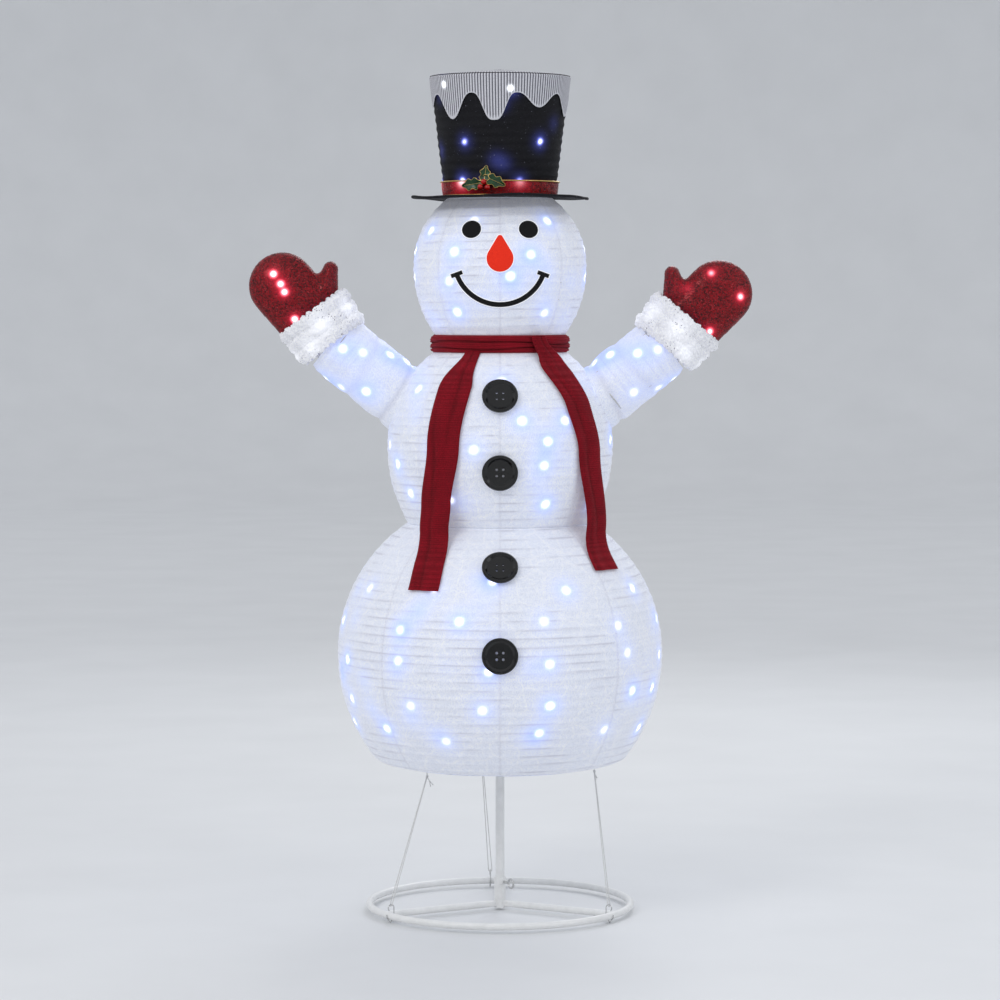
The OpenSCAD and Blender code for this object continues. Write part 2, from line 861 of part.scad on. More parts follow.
module eyes() {
    color("black")
        felt()
            for (side = [-1, 1])
                translate([side * eye_span / 2, HEAD[2] + eye_up])
                    circle(r = eye_r);
}

// Two circles joined by their outer tangents
module nose() {
    lean = asin((nose_r - nose_tip_r) / nose_l);
    across = [cos(lean), sin(lean)];
    color("orangered")
        felt()
            translate([0, HEAD[2] + nose_up]) {
                circle(r = nose_r);
                translate([0, nose_l])
                    circle(r = nose_tip_r);
                polygon([
                    nose_r * across, [0, nose_l] + nose_tip_r * across,
                    [-nose_tip_r * across[0], nose_l + nose_tip_r * across[1]],
                    [-nose_r * across[0], nose_r * across[1]]
                ]);
            }
}

module mouth() {
    reach = 2 * smile_r;
    color("black")
        felt()
            translate([0, HEAD[2] + nose_up]) {
                difference() {
                    circle(r = smile_r + smile_w / 2);
                    circle(r = smile_r - smile_w / 2);
                    polygon([
                        [0, 0], [reach * sin(smile_angle), -reach * cos(smile_angle)],
                        [reach, reach], [-reach, reach],
                        [-reach * sin(smile_angle), -reach * cos(smile_angle)]
                    ]);
                }
                for (side = [-1, 1])
                    rotate(side * smile_angle)
                        translate([0, -smile_r])
                            square([smile_w * 0.8, smile_bar], center = true);
            }
}

// Dished button with a rim and four thread holes
module button(i) {
    ball = BUTTONS[i][0];
    z = ball[2] + BUTTONS[i][1];
    r = button_d / 2;
    color("black")
        translate([0, -ball_r(ball, z), z])
            rotate([90 - ball_tilt(ball, z), 0, 0])
                translate([0, 0, near_gap])
                    difference() {
                        rotate_extrude()
                            polygon([
                                [0, 0], [r - 3, 0], [r, 3], [r, button_t - 2], [r - 2, button_t],
                                [r - 5, button_t], [r - 9, button_t - 3.5], [0, button_t - 3]
                            ]);
                        for (a = [45 : 90 : 315])
                            rotate([0, 0, a])
                                translate([8, 0, -1])
                                    cylinder(r = 2.2, h = button_t + 2, $fn = 24);
                    }
}

// ---------- Scarf ----------

// Band in the groove between the middle ball and the head
module scarf_wrap() {
    steps = 10;
    groove = [for (i = [0 : steps])
        let (z = wrap_high + (wrap_low - wrap_high) * i / steps)
        [(z > neck_z ? ball_r(HEAD, max(z, HEAD[0])) : ball_r(MIDDLE, min(z, MIDDLE[4])))
            + near_gap, z]];
    color("#c01010")
        rotate_extrude()
            polygon(concat([[wrap_r - 2, wrap_low], [wrap_r, wrap_low + 5],
                [wrap_r - 0.6, (wrap_low + wrap_high) / 2],
                [wrap_r, wrap_high - 5], [wrap_r - 2, wrap_high]], groove));
}

// Radius that a hanging end lies at: on the middle ball, straight down, then on the lower ball
function tail_r(z, least) = lay_gap + max(least,
    z > MIDDLE[2] ? ball_r(MIDDLE, min(z, MIDDLE[4])) : middle_r,
    z < LOWER[4] ? ball_r(LOWER, z) : 0);

// Flat knit strip; turns gives its angle from the front at shares of its drop
module scarf_tail(top, bottom, least, turns) {
    steps = 24;
    rings = [for (i = [0 : steps])
        let (z = top + (bottom - top) * i / steps, a = lookup(i / steps, turns),
            out = [sin(a), -cos(a), 0], side = [cos(a), sin(a), 0], r = tail_r(z, least))
        for (p = [[-1, 0], [1, 0], [1, 1], [-1, 1]])
            (r + p[1] * scarf_t) * out + p[0] * tail_w / 2 * side + [0, 0, z]];
    walls = [for (i = [0 : steps - 1], k = [0 : 3])
        [i * 4 + k, i * 4 + (k + 1) % 4, i * 4 + 4 + (k + 1) % 4, i * 4 + 4 + k]];
    color("#c01010")
        polyhedron(rings, concat(walls, [[3, 2, 1, 0],
            [steps * 4, steps * 4 + 1, steps * 4 + 2, steps * 4 + 3]]), convexity = 6);
}

module scarf_tail_left() {
    scarf_tail(wrap_low - 2, neck_z - left_tail_l, 0,
        [[0, -23], [0.12, -26.5], [0.4, -29], [0.65, -33], [0.75, -34], [1, -30.5]]);
}

module scarf_tail_right() {
    scarf_tail(wrap_high, neck_z - right_tail_l, wrap_r,
        [[0, 32], [0.1, 40], [0.3, 46], [0.5, 50], [0.8, 56], [1, 50.5]]);
}

// ---------- Arms ----------

// Frame of an arm's sleeve: origin at the hinge, +X along the arm
module in_arm(arm) {
    mirror([arm == LEFT ? 1 : 0, 0, 0])
        translate([shoulder_r, 0, shoulder_z])
            rotate([0, -RISE[arm], 0])
                children();
}

// Frame of an arm's cuff and mitten: origin at the sleeve's end, +X along them
module in_forearm(arm) {
    in_arm(arm)
        translate([SLEEVE_L[arm] + 2, 0, 0])
            rotate([0, -WRIST[arm], 0])
                children();
}

// Four wires along the arm between two distances
module arm_wires(r, from, to) {
    for (a = [45 : 90 : 315])
        rod([from, r * cos(a), r * sin(a)], [to, r * cos(a), r * sin(a)], arm_wire_r);
}

module arm_hoop(r, at) {
    translate([at, 0, 0])
        rotate([0, 90, 0])
            wire_ring(r, 2 * arm_wire_r + 0.5);
}

// Wire frame with a rolled eye around the shoulder hoop's wire
module arm_frame(arm) {
    sleeve_hoop_r = sleeve_r - edge_in;
    cuff_hoop_r = sleeve_hoop_r - 4;
    sleeve_to = SLEEVE_L[arm] - arm_hoop_end;
    cuff_to = cuff_l - arm_hoop_end;
    color("gainsboro") {
        in_arm(arm) {
            rotate([90, 0, 0])
                difference() {
                    cylinder(r = eye_bore_r + 2, h = 8, center = true, $fn = 32);
                    cylinder(r = eye_bore_r, h = 10, center = true, $fn = 32);
                }
            rod([eye_bore_r + 1, 0, 0], [arm_hoop_s, 0, 0], arm_wire_r + 0.25);
            for (at = [arm_hoop_s, sleeve_to])
                arm_hoop(sleeve_hoop_r, at);
            arm_wires(sleeve_hoop_r, arm_hoop_s, sleeve_to);
            for (end = [[0, sleeve_hoop_r], [sleeve_hoop_r, 0]])
                rod([arm_hoop_s, -end[0], -end[1]], [arm_hoop_s, end[0], end[1]], arm_wire_r);
        }
        in_forearm(arm) {
            arm_wires(cuff_hoop_r, -cuff_wire_in, cuff_to);
            for (at = [-cuff_wire_in, 6, cuff_to])
                arm_hoop(cuff_hoop_r, at);
            rod([-cuff_wire_in, -sleeve_hoop_r, 0], [-cuff_wire_in, sleeve_hoop_r, 0],
                arm_wire_r);
        }
    }
}

// Tube of cloth, cut off where it meets the middle ball and along the cuff's tilted end
module arm_sleeve(arm) {
    bulge = 2.5;
    low = -sleeve_r / 2;
    high = SLEEVE_L[arm] + sleeve_r * tan(WRIST[arm]);
    outline = [for (i = [0 : 8])
        [sleeve_r - bulge + bulge * sin(180 * i / 8), low + (high - low) * i / 8]];
    color("whitesmoke")
        difference() {
            in_arm(arm)
                rotate([0, 90, 0])
                    rotate_extrude()
                        polygon(concat(outline, [for (p = reversed(outline)) p - [fabric_t, 0]]));
            ball_solid(MIDDLE, 2 * near_gap);
            in_forearm(arm)
                translate([-near_gap, 0, 0])
                    rotate([0, 90, 0])
                        cylinder(r = 2 * sleeve_r, h = sleeve_r);
        }
}

// Hollow fur cuff that flares towards the mitten in three rolls
module arm_cuff(arm) {
    rolls = 3;
    steps = 18;
    outline = [for (i = [0 : steps])
        [cuff_base_r + (cuff_end_r - cuff_base_r) * i / steps
            - 2.5 * pow(cos(180 * rolls * i / steps), 2), cuff_l * i / steps]];
    color("snow")
        in_forearm(arm)
            rotate([0, 90, 0])
                rotate_extrude()
                    polygon(concat(outline, [[cuff_end_r - cuff_t, cuff_l],
                        [cuff_base_r - cuff_t, 0]]));
}

// Rounded pad between two round ends: full outline at mid thickness, less at full thickness
module pad(from, from_r, to, to_r, thick) {
    edge = min(to_r * 0.4, thick / 3);
    hull()
        for (layer = [[0, thick - 2 * edge], [edge, thick]], end = [[from, from_r], [to, to_r]])
            translate([end[0][0], 0, end[0][1]])
                rotate([90, 0, 0])
                    cylinder(r = end[1] - layer[0], h = layer[1], center = true, $fn = 32);
}

// Padded mitten whose thumb is on the side towards the head
module arm_mitten(arm) {
    palm_root = [cuff_l + 4, -9];
    palm_end = [cuff_l + mitten_l - mitten_r, -15];
    thumb_root = [cuff_l + 16, mitten_r - 19];
    thumb_end = [cuff_l + 41, mitten_r + 12];
    color("#b3101a")
        in_forearm(arm)
            intersection() {
                union() {
                    pad(palm_root, mitten_r, palm_end, mitten_r, mitten_t);
                    pad(thumb_root, 1.8 * thumb_r, thumb_end, thumb_r, mitten_t * 0.6);
                }
                translate([cuff_l + near_gap, -mitten_t, -2 * mitten_r])
                    cube([2 * mitten_l, 2 * mitten_t, 4 * mitten_r]);
            }
}

// ---------- Nodes ----------

ground_ring();
spoke(SPOKE_ANGLES[0]);  // spoke_left
spoke(SPOKE_ANGLES[1]);  // spoke_right
spoke(SPOKE_ANGLES[2]);  // spoke_back
pole_socket();
thumb_screw();
ring_hook(HOOK_ANGLES[0]);  // ring_hook_left
ring_hook(HOOK_ANGLES[1]);  // ring_hook_right
ring_hook(HOOK_ANGLES[2]);  // ring_hook_back
elastic(0);  // elastic_left
elastic(1);  // elastic_right
elastic(2);  // elastic_back
lower_pole();
lower_collar();
middle_pole();
upper_collar();
upper_pole();
pole_cap();
bottom_hoop();
hoop(waist_r - seam_in, waist_z);  // waist_hoop
hoop(shoulder_r, shoulder_z);  // shoulder_hoop
hoop(neck_r - seam_in, neck_z);  // neck_hoop
hoop(head_top_r - 1.5 * seam_in, brim_z);  // brim_hoop
hat_top_hoop();
bottom_panel();
lower_cover();
middle_cover();
head_cover();
hat_cover();
hat_snow();
hat_brim();
hat_band();
holly_leaves();
holly_berries();
ball_coil(LOWER, waist_z);  // lower_coil
ball_coil(MIDDLE, link_z);  // middle_coil
ball_coil(HEAD, brim_z);  // head_coil
hat_coil();
lower_lights();
middle_lights();
head_lights();
hat_lights();
eyes();
nose();
mouth();
button(0);  // button_1
button(1);  // button_2
button(2);  // button_3
button(3);  // button_4
scarf_wrap();
scarf_tail_left();
scarf_tail_right();
arm_frame(LEFT);  // arm_left_frame
arm_sleeve(LEFT);  // arm_left_sleeve
arm_cuff(LEFT);  // arm_left_cuff
arm_mitten(LEFT);  // arm_left_mitten
arm_frame(RIGHT);  // arm_right_frame
arm_sleeve(RIGHT);  // arm_right_sleeve
arm_cuff(RIGHT);  // arm_right_cuff
arm_mitten(RIGHT);  // arm_right_mitten
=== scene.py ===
"""Looks of the light-up fabric snowman: glowing covers over coil springs, soft arms, hat and scarf."""

import json
import math
import random

import bpy
from mathutils import Matrix, Vector, noise
from mathutils.kdtree import KDTree


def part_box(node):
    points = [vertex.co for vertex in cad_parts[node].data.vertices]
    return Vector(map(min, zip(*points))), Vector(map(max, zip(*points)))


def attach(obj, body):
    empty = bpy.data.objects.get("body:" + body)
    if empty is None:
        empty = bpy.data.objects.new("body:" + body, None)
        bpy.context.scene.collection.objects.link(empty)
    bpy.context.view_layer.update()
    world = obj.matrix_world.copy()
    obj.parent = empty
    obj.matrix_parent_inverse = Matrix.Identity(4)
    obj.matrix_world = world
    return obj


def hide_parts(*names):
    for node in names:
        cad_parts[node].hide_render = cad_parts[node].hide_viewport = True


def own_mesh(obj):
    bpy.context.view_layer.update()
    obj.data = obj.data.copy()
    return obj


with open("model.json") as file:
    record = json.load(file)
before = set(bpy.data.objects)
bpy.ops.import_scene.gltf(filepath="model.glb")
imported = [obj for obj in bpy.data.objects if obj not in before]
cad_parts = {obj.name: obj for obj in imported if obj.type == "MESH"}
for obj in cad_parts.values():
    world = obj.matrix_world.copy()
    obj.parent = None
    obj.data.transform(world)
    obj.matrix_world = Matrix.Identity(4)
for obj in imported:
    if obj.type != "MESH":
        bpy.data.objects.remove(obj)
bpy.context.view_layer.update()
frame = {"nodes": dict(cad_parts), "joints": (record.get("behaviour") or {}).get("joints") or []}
scene = bpy.context.scene
rng = random.Random(11)

# ---------- Levels and sizes, from the frame ----------


def low(node):
    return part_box(node)[0][2]


def high(node):
    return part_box(node)[1][2]


def level(node):
    return (low(node) + high(node)) / 2


def radius(node):
    lo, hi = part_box(node)
    return (hi[0] - lo[0]) / 2


def joint(name):
    return next(j for j in frame["joints"] if j["name"] == name)


BASE = high("bottom_panel")
WAIST = level("waist_hoop")
NECK = level("neck_hoop")
BRIM = level("brim_hoop")
CROWN = high("hat_cover")
PEAK = high("hat_snow")
SEAM_GAP = 0.0006
WIRE_PITCH = 0.015      # rise of the coil springs in one turn
SKIN = 0.001            # thickness of the covers
WAIST_R = 0.167         # radius of the covers at the waist hoop
NECK_R = 0.102          # and at the neck hoop

# Each ball: low level and radius, widest level and radius, top level and radius
LOWER = (BASE + 0.012, 0.228, BASE + 0.2, radius("lower_cover"), WAIST - SEAM_GAP / 2, WAIST_R)
MIDDLE = (WAIST + SEAM_GAP / 2, WAIST_R, WAIST + 0.14, radius("middle_cover"), NECK - SEAM_GAP / 2, NECK_R)
HEAD = (NECK + SEAM_GAP / 2, NECK_R, NECK + 0.141, radius("head_cover"), BRIM - SEAM_GAP, 0.094)
CROWN_LOW_R = 0.1
CROWN_TOP_R = radius("hat_cover")


def ball_half(ball, z):
    """Half height of the ellipse that a ball follows above or below its widest level."""
    if z < ball[2]:
        return (ball[2] - ball[0]) / math.sqrt(1 - (ball[1] / ball[3]) ** 2)
    return (ball[4] - ball[2]) / math.sqrt(1 - (ball[5] / ball[3]) ** 2)


def ball_r(ball, z, out=0.0):
    """A ball's radius at level z, with its surface moved outwards by out."""
    share = (z - ball[2]) / (ball_half(ball, z) + out)
    return (ball[3] + out) * math.sqrt(max(0.0, 1 - share * share))


def ball_side(ball, steps):
    """Points (r, z) along a ball's side, even in angle, from its low end to its top."""
    first = -math.asin((ball[2] - ball[0]) / ball_half(ball, ball[0]))
    last = math.asin((ball[4] - ball[2]) / ball_half(ball, ball[4]))
    points = []
    for i in range(steps + 1):
        a = first + (last - first) * i / steps
        half = ball_half(ball, ball[2] + a)
        points.append((ball[3] * math.cos(a), ball[2] + half * math.sin(a)))
    return points


def crown_r(z):
    return CROWN_LOW_R + (CROWN_TOP_R - CROWN_LOW_R) * (z - BRIM) / (CROWN - BRIM)


def around(r, angle, z):
    """Point at an angle from the front, positive towards +X."""
    return Vector((r * math.sin(angle), -r * math.cos(angle), z))


def smooth(x):
    x = min(1.0, max(0.0, x))
    return x * x * (3 - 2 * x)


def lookup(x, table):
    """Value at x on straight lines between (x, value) pairs, eased at each pair."""
    for (x0, v0), (x1, v1) in zip(table, table[1:]):
        if x <= x1:
            return v0 + (v1 - v0) * smooth((x - x0) / (x1 - x0))
    return table[-1][1]


# ---------- Camera, stage and light ----------

CAMERA_AT = Vector((0, -6.09, 1.11))
CAMERA_AIM = Vector((0, 0, 0.745))
FOCAL = 121.8


def make_camera():
    data = bpy.data.cameras.new("camera")
    data.lens = FOCAL
    data.sensor_width = 36
    data.clip_end = 50
    camera = bpy.data.objects.new("camera", data)
    camera.location = CAMERA_AT
    camera.rotation_euler = (CAMERA_AIM - CAMERA_AT).to_track_quat("-Z", "Y").to_euler()
    scene.collection.objects.link(camera)
    scene.camera = camera


def make_light(name, at, aim, size, power, colour):
    data = bpy.data.lights.new(name, "AREA")
    data.shape = "DISK"
    data.size = size
    data.energy = power
    data.color = colour
    light = bpy.data.objects.new(name, data)
    light.location = at
    light.rotation_euler = (Vector(aim) - Vector(at)).to_track_quat("-Z", "Y").to_euler()
    scene.collection.objects.link(light)


def make_stage():
    """A round floor that curves up into a wall, so that no view has a horizon line."""
    reach, bend, wall, cols = 12.0, 3.0, 5.0, 96
    profile = [(max(reach * k / 6, 0.001), 0) for k in range(6)]
    for b in (math.pi * k / 24 for k in range(13)):
        profile.append((reach + bend * math.sin(b), bend * (1 - math.cos(b))))
    profile.append((reach + bend, wall))
    stage = Shape()
    turn = 2 * math.pi / cols
    stage.grid(len(profile), cols, lambda i, j: around(profile[i][0], turn * j, profile[i][1]), wrap=True)
    stage.faces.append(tuple(reversed(range(cols))))
    mesh = bpy.data.meshes.new("floor")
    mesh.from_pydata(stage.verts, [], stage.faces)
    mesh.shade_smooth()
    mesh.materials.append(MATERIAL["floor"])
    floor = bpy.data.objects.new("floor", mesh)
    scene.collection.objects.link(floor)
    world = bpy.data.worlds.new("world")
    world.use_nodes = True
    background = world.node_tree.nodes["Background"]
    background.inputs["Color"].default_value = (0.80, 0.82, 0.86, 1)
    background.inputs["Strength"].default_value = 0.92
    scene.world = world
    scene.view_settings.view_transform = "Standard"
    make_light("key", (-2.2, -3.0, 3.2), (0, 0, 0.8), 1.8, 36, (1, 0.98, 0.95))
    make_light("fill", (3.0, -2.2, 1.8), (0, 0, 0.7), 2.2, 12, (0.93, 0.96, 1))
    make_light("rim", (0.8, 3.2, 2.8), (0, 0, 0.9), 1.8, 26, (0.95, 0.97, 1))


# ---------- Materials ----------

MATERIAL = {}


class Nodes:
    """Small helper that builds one material's nodes and links."""

    def __init__(self, name):
        self.material = bpy.data.materials.new(name)
        self.material.use_nodes = True
        self.tree = self.material.node_tree
        self.shader = self.tree.nodes["Principled BSDF"]
        self.coords = None
        MATERIAL[name] = self.material

    def node(self, kind, **values):
        made = self.tree.nodes.new(kind)
        for key, value in values.items():
            if hasattr(made, key):
                setattr(made, key, value)
            else:
                made.inputs[key.replace("_", " ").title()].default_value = value
        return made

    def link(self, source, target):
        self.tree.links.new(source, target)

    def set(self, **values):
        for key, value in values.items():
            self.shader.inputs[key.replace("_", " ").title().replace("Ior", "IOR")].default_value = value

    def feed(self, socket, source):
        """Links a colour or value to one of the shader's sockets."""
        self.link(source, self.shader.inputs[socket])

    def place(self, scale=(1, 1, 1)):
        """Object coordinates, stretched by scale."""
        if self.coords is None:
            self.coords = self.node("ShaderNodeTexCoord").outputs["Object"]
        mapping = self.node("ShaderNodeMapping")
        mapping.inputs["Scale"].default_value = scale
        self.link(self.coords, mapping.inputs["Vector"])
        return mapping.outputs["Vector"]

    def noise(self, scale, detail=3.0, stretch=(1, 1, 1)):
        made = self.node("ShaderNodeTexNoise", scale=scale, detail=detail)
        self.link(self.place(stretch), made.inputs["Vector"])
        return made.outputs["Fac"]

    def voronoi(self, scale, feature="F1", stretch=(1, 1, 1)):
        made = self.node("ShaderNodeTexVoronoi", feature=feature)
        made.inputs["Scale"].default_value = scale
        self.link(self.place(stretch), made.inputs["Vector"])
        return made

    def ramp(self, value, stops):
        """Colour ramp; stops are (place, colour)."""
        made = self.node("ShaderNodeValToRGB")
        elements = made.color_ramp.elements
        while len(elements) < len(stops):
            elements.new(0.5)
        for element, (place, colour) in zip(elements, stops):
            element.position = place
            element.color = (*colour, 1)
        self.link(value, made.inputs["Fac"])
        return made.outputs["Color"]

    def attribute(self, name):
        made = self.node("ShaderNodeAttribute", attribute_name=name)
        return made.outputs["Fac"]

    def attribute_times(self, name, factor):
        return self.math("MULTIPLY", self.attribute(name), factor)

    def math(self, operation, a, b):
        made = self.node("ShaderNodeMath", operation=operation)
        for socket, value in zip(made.inputs, (a, b)):
            if isinstance(value, (int, float)):
                socket.default_value = value
            else:
                self.link(value, socket)
        return made.outputs[0]

    def mix(self, share, a, b, blend="MIX"):
        made = self.node("ShaderNodeMix", data_type="RGBA", blend_type=blend)
        for socket, value in ((made.inputs["Factor"], share), (made.inputs[6], a), (made.inputs[7], b)):
            if isinstance(value, (int, float)):
                socket.default_value = value
            elif isinstance(value, tuple):
                socket.default_value = (*value, 1)
            else:
                self.link(value, socket)
        return made.outputs[2]

    def columns(self, count, wander):
        """0 to 1 across each of count upright columns round the Z axis; wander bends them a little."""
        if self.coords is None:
            self.coords = self.node("ShaderNodeTexCoord").outputs["Object"]
        parts = self.node("ShaderNodeSeparateXYZ")
        self.link(self.coords, parts.inputs[0])
        angle = self.math("ARCTAN2", parts.outputs["X"], parts.outputs["Y"])
        bends = self.math("MULTIPLY", self.noise(9, 1), wander)
        turn = self.math("ADD", self.math("MULTIPLY", angle, float(count)), bends)
        return self.math("MULTIPLY", self.math("ADD", self.math("SINE", turn, 0.0), 1.0), 0.5)

    def bump(self, height, strength, distance):
        made = self.node("ShaderNodeBump", strength=strength, distance=distance)
        self.link(height, made.inputs["Height"])
        self.link(made.outputs["Normal"], self.shader.inputs["Normal"])


def grain(value):
    """0 to 1 from a cell's random colour."""
    return value.outputs["Color"]


def material_coat():
    m = Nodes("white_coat")
    spots = m.noise(60, 4)
    m.feed("Base Color", m.ramp(spots, [(0.3, (0.80, 0.80, 0.79)), (0.7, (0.88, 0.88, 0.87))]))
    m.set(roughness=0.34)
    m.bump(m.noise(1400, 2), 0.12, 0.0004)


def material_wire():
    m = Nodes("wire")
    m.feed("Base Color", m.ramp(m.noise(300, 3), [(0.3, (0.50, 0.50, 0.50)), (0.7, (0.72, 0.72, 0.71))]))
    m.set(metallic=1.0, roughness=0.28)
    m.bump(m.noise(2200, 2), 0.1, 0.0002)


def material_elastic():
    m = Nodes("elastic")
    weave = m.voronoi(1500)
    threads = m.ramp(weave.outputs["Distance"], [(0.0, (0.88, 0.88, 0.86)), (0.8, (0.62, 0.62, 0.61))])
    m.feed("Base Color", threads)
    m.set(roughness=0.8)
    m.bump(weave.outputs["Distance"], 0.5, 0.0004)


def material_plastic():
    m = Nodes("grey_plastic")
    m.feed("Base Color", m.ramp(m.noise(240, 4), [(0.3, (0.10, 0.10, 0.105)), (0.7, (0.15, 0.15, 0.155))]))
    m.set(roughness=0.45)
    m.bump(m.noise(1800, 2), 0.15, 0.0003)


def material_cover():
    """White glittering cloth with a lace pattern and lights behind it; its line attribute paints shade where
    each wire lies inside and along the puckered seams.
    """
    m = Nodes("cover")
    threads = m.noise(900, 3, (1, 1, 0.35))
    lace = m.voronoi(26, "DISTANCE_TO_EDGE")
    petals = m.voronoi(95, "DISTANCE_TO_EDGE")
    flakes = m.voronoi(1100)
    cloth = m.ramp(threads, [(0.35, (0.70, 0.73, 0.80)), (0.62, (0.90, 0.92, 0.97))])
    veins = m.ramp(lace.outputs["Distance"], [(0.02, (1, 1, 1)), (0.07, (0.90, 0.92, 0.96))])
    cloth = m.mix(0.55, cloth, veins, "MULTIPLY")
    fine = m.ramp(petals.outputs["Distance"], [(0.03, (1, 1, 1)), (0.16, (0.88, 0.90, 0.95))])
    cloth = m.mix(0.45, cloth, fine, "MULTIPLY")
    cloth = m.mix(m.attribute_times("glow", 0.70), cloth, (0.40, 0.54, 1.0))
    # Painted shade from the line attribute: darker along the wire inside the cloth and along the puckered
    # seams.
    cloth = m.mix(m.attribute_times("line", 0.60), cloth, (0.33, 0.32, 0.42))
    m.feed("Base Color", cloth)
    glitter = m.ramp(grain(flakes), [(0.72, (0.62, 0.62, 0.62)), (0.80, (0.12, 0.12, 0.12))])
    m.feed("Roughness", glitter)
    m.set(sheen_weight=0.25, specular_ior_level=0.6)
    halo = m.attribute_times("glow", 0.30)
    spark = m.attribute_times("spark", 4.0)
    even = m.attribute_times("lit", 0.13)
    strength = m.math("ADD", m.math("ADD", halo, spark), even)
    tint = m.mix(m.attribute("glow"), (0.90, 0.90, 1.0), (0.36, 0.46, 1.0))
    tint = m.mix(m.attribute("spark"), tint, (0.94, 0.97, 1.0))
    m.feed("Emission Color", tint)
    m.feed("Emission Strength", strength)
    m.bump(m.mix(0.35, threads, grain(flakes)), 0.3, 0.0008)


def material_tinsel():
    """Black woven cloth with a few tinsel flecks, and lights behind it."""
    m = Nodes("tinsel")
    threads = m.noise(700, 3, (0.5, 0.5, 3.2))
    flakes = m.voronoi(900)
    cloth = m.ramp(threads, [(0.40, (0.002, 0.002, 0.003)), (0.72, (0.014, 0.014, 0.019))])
    fleck = m.ramp(grain(flakes), [(0.93, (0, 0, 0)), (0.97, (0.22, 0.22, 0.28))])
    m.feed("Base Color", m.mix(0.8, cloth, fleck, "ADD"))
    m.feed("Roughness", m.ramp(grain(flakes), [(0.92, (0.75, 0.75, 0.75)), (0.96, (0.2, 0.2, 0.2))]))
    m.set(specular_ior_level=0.22)
    strength = m.math("ADD", m.attribute_times("glow", 0.30), m.attribute_times("spark", 6.0))
    tint = m.mix(m.attribute("spark"), (0.16, 0.20, 1.0), (0.92, 0.95, 1.0))
    m.feed("Emission Color", tint)
    m.feed("Emission Strength", strength)
    m.bump(threads, 0.45, 0.0008)


def material_snow():
    """White knitted mesh with columns of stitches and dark gaps between them."""
    m = Nodes("snow")
    stitch = m.columns(150, 3.0)
    column = m.ramp(stitch, [(0.22, (0.10, 0.10, 0.13)), (0.50, (0.74, 0.74, 0.78))])
    column = m.mix(m.attribute("hem"), column, (0.84, 0.84, 0.88))
    knots = m.noise(800, 2, (1, 1, 1.6))
    column = m.mix(0.6, column, m.ramp(knots, [(0.35, (0.50, 0.50, 0.55)), (0.6, (1, 1, 1))]), "MULTIPLY")
    m.feed("Base Color", column)
    m.set(roughness=0.75, sheen_weight=0.15)
    m.feed("Emission Strength", m.attribute_times("spark", 4.0))
    m.set(emission_color=(0.9, 0.94, 1, 1))
    m.bump(stitch, 0.6, 0.0010)


def material_glitter(name, dark, bright, painted_glint, lamps=0.0):
    """Coarse glitter glued on cloth, with a painted highlight on a few small grains for their sparkle."""
    m = Nodes(name)
    flakes = m.voronoi(520)
    small = m.voronoi(1500)
    colour = m.ramp(grain(flakes), [(0.2, dark), (0.7, bright)])
    # Painted highlight: a few small grains take the bright glint colour for the glitter's sparkle.
    colour = m.mix(m.ramp(grain(small), [(0.88, (0, 0, 0)), (0.95, (1, 1, 1))]), colour, painted_glint)
    m.feed("Base Color", colour)
    m.feed("Roughness", m.ramp(grain(flakes), [(0.3, (0.55, 0.55, 0.55)), (0.8, (0.14, 0.14, 0.14))]))
    m.set(metallic=0.1, specular_ior_level=0.3)
    if lamps:
        strength = m.math("ADD", m.attribute_times("glow", 0.38), m.attribute_times("spark", lamps))
        tint = m.mix(m.attribute("spark"), (1.0, 0.02, 0.07), (1.0, 0.86, 0.92))
        m.feed("Emission Color", tint)
        m.feed("Emission Strength", strength)
    m.bump(m.mix(0.4, grain(flakes), grain(small)), 0.7, 0.0012)


def material_knit():
    m = Nodes("knit")
    fibres = m.noise(1100, 3)
    blotch = m.noise(28, 3)
    colour = m.ramp(fibres, [(0.35, (0.13, 0.0, 0.005)), (0.65, (0.38, 0.003, 0.016))])
    colour = m.mix(0.5, colour, m.ramp(blotch, [(0.35, (0.60, 0.60, 0.60)), (0.65, (1, 1, 1))]), "MULTIPLY")
    # Painted shade from the line attribute: darker in folds, creases and rib grooves, on the tails' backs and
    # where the wrap turns in against the body.
    colour = m.mix(m.attribute_times("line", 0.75), colour, (0.045, 0.001, 0.002))
    m.feed("Base Color", colour)
    m.set(roughness=0.9, sheen_weight=0.12, sheen_roughness=0.5, specular_ior_level=0.25)
    m.set(sheen_tint=(1, 0.12, 0.12, 1))
    m.bump(fibres, 0.5, 0.0009)


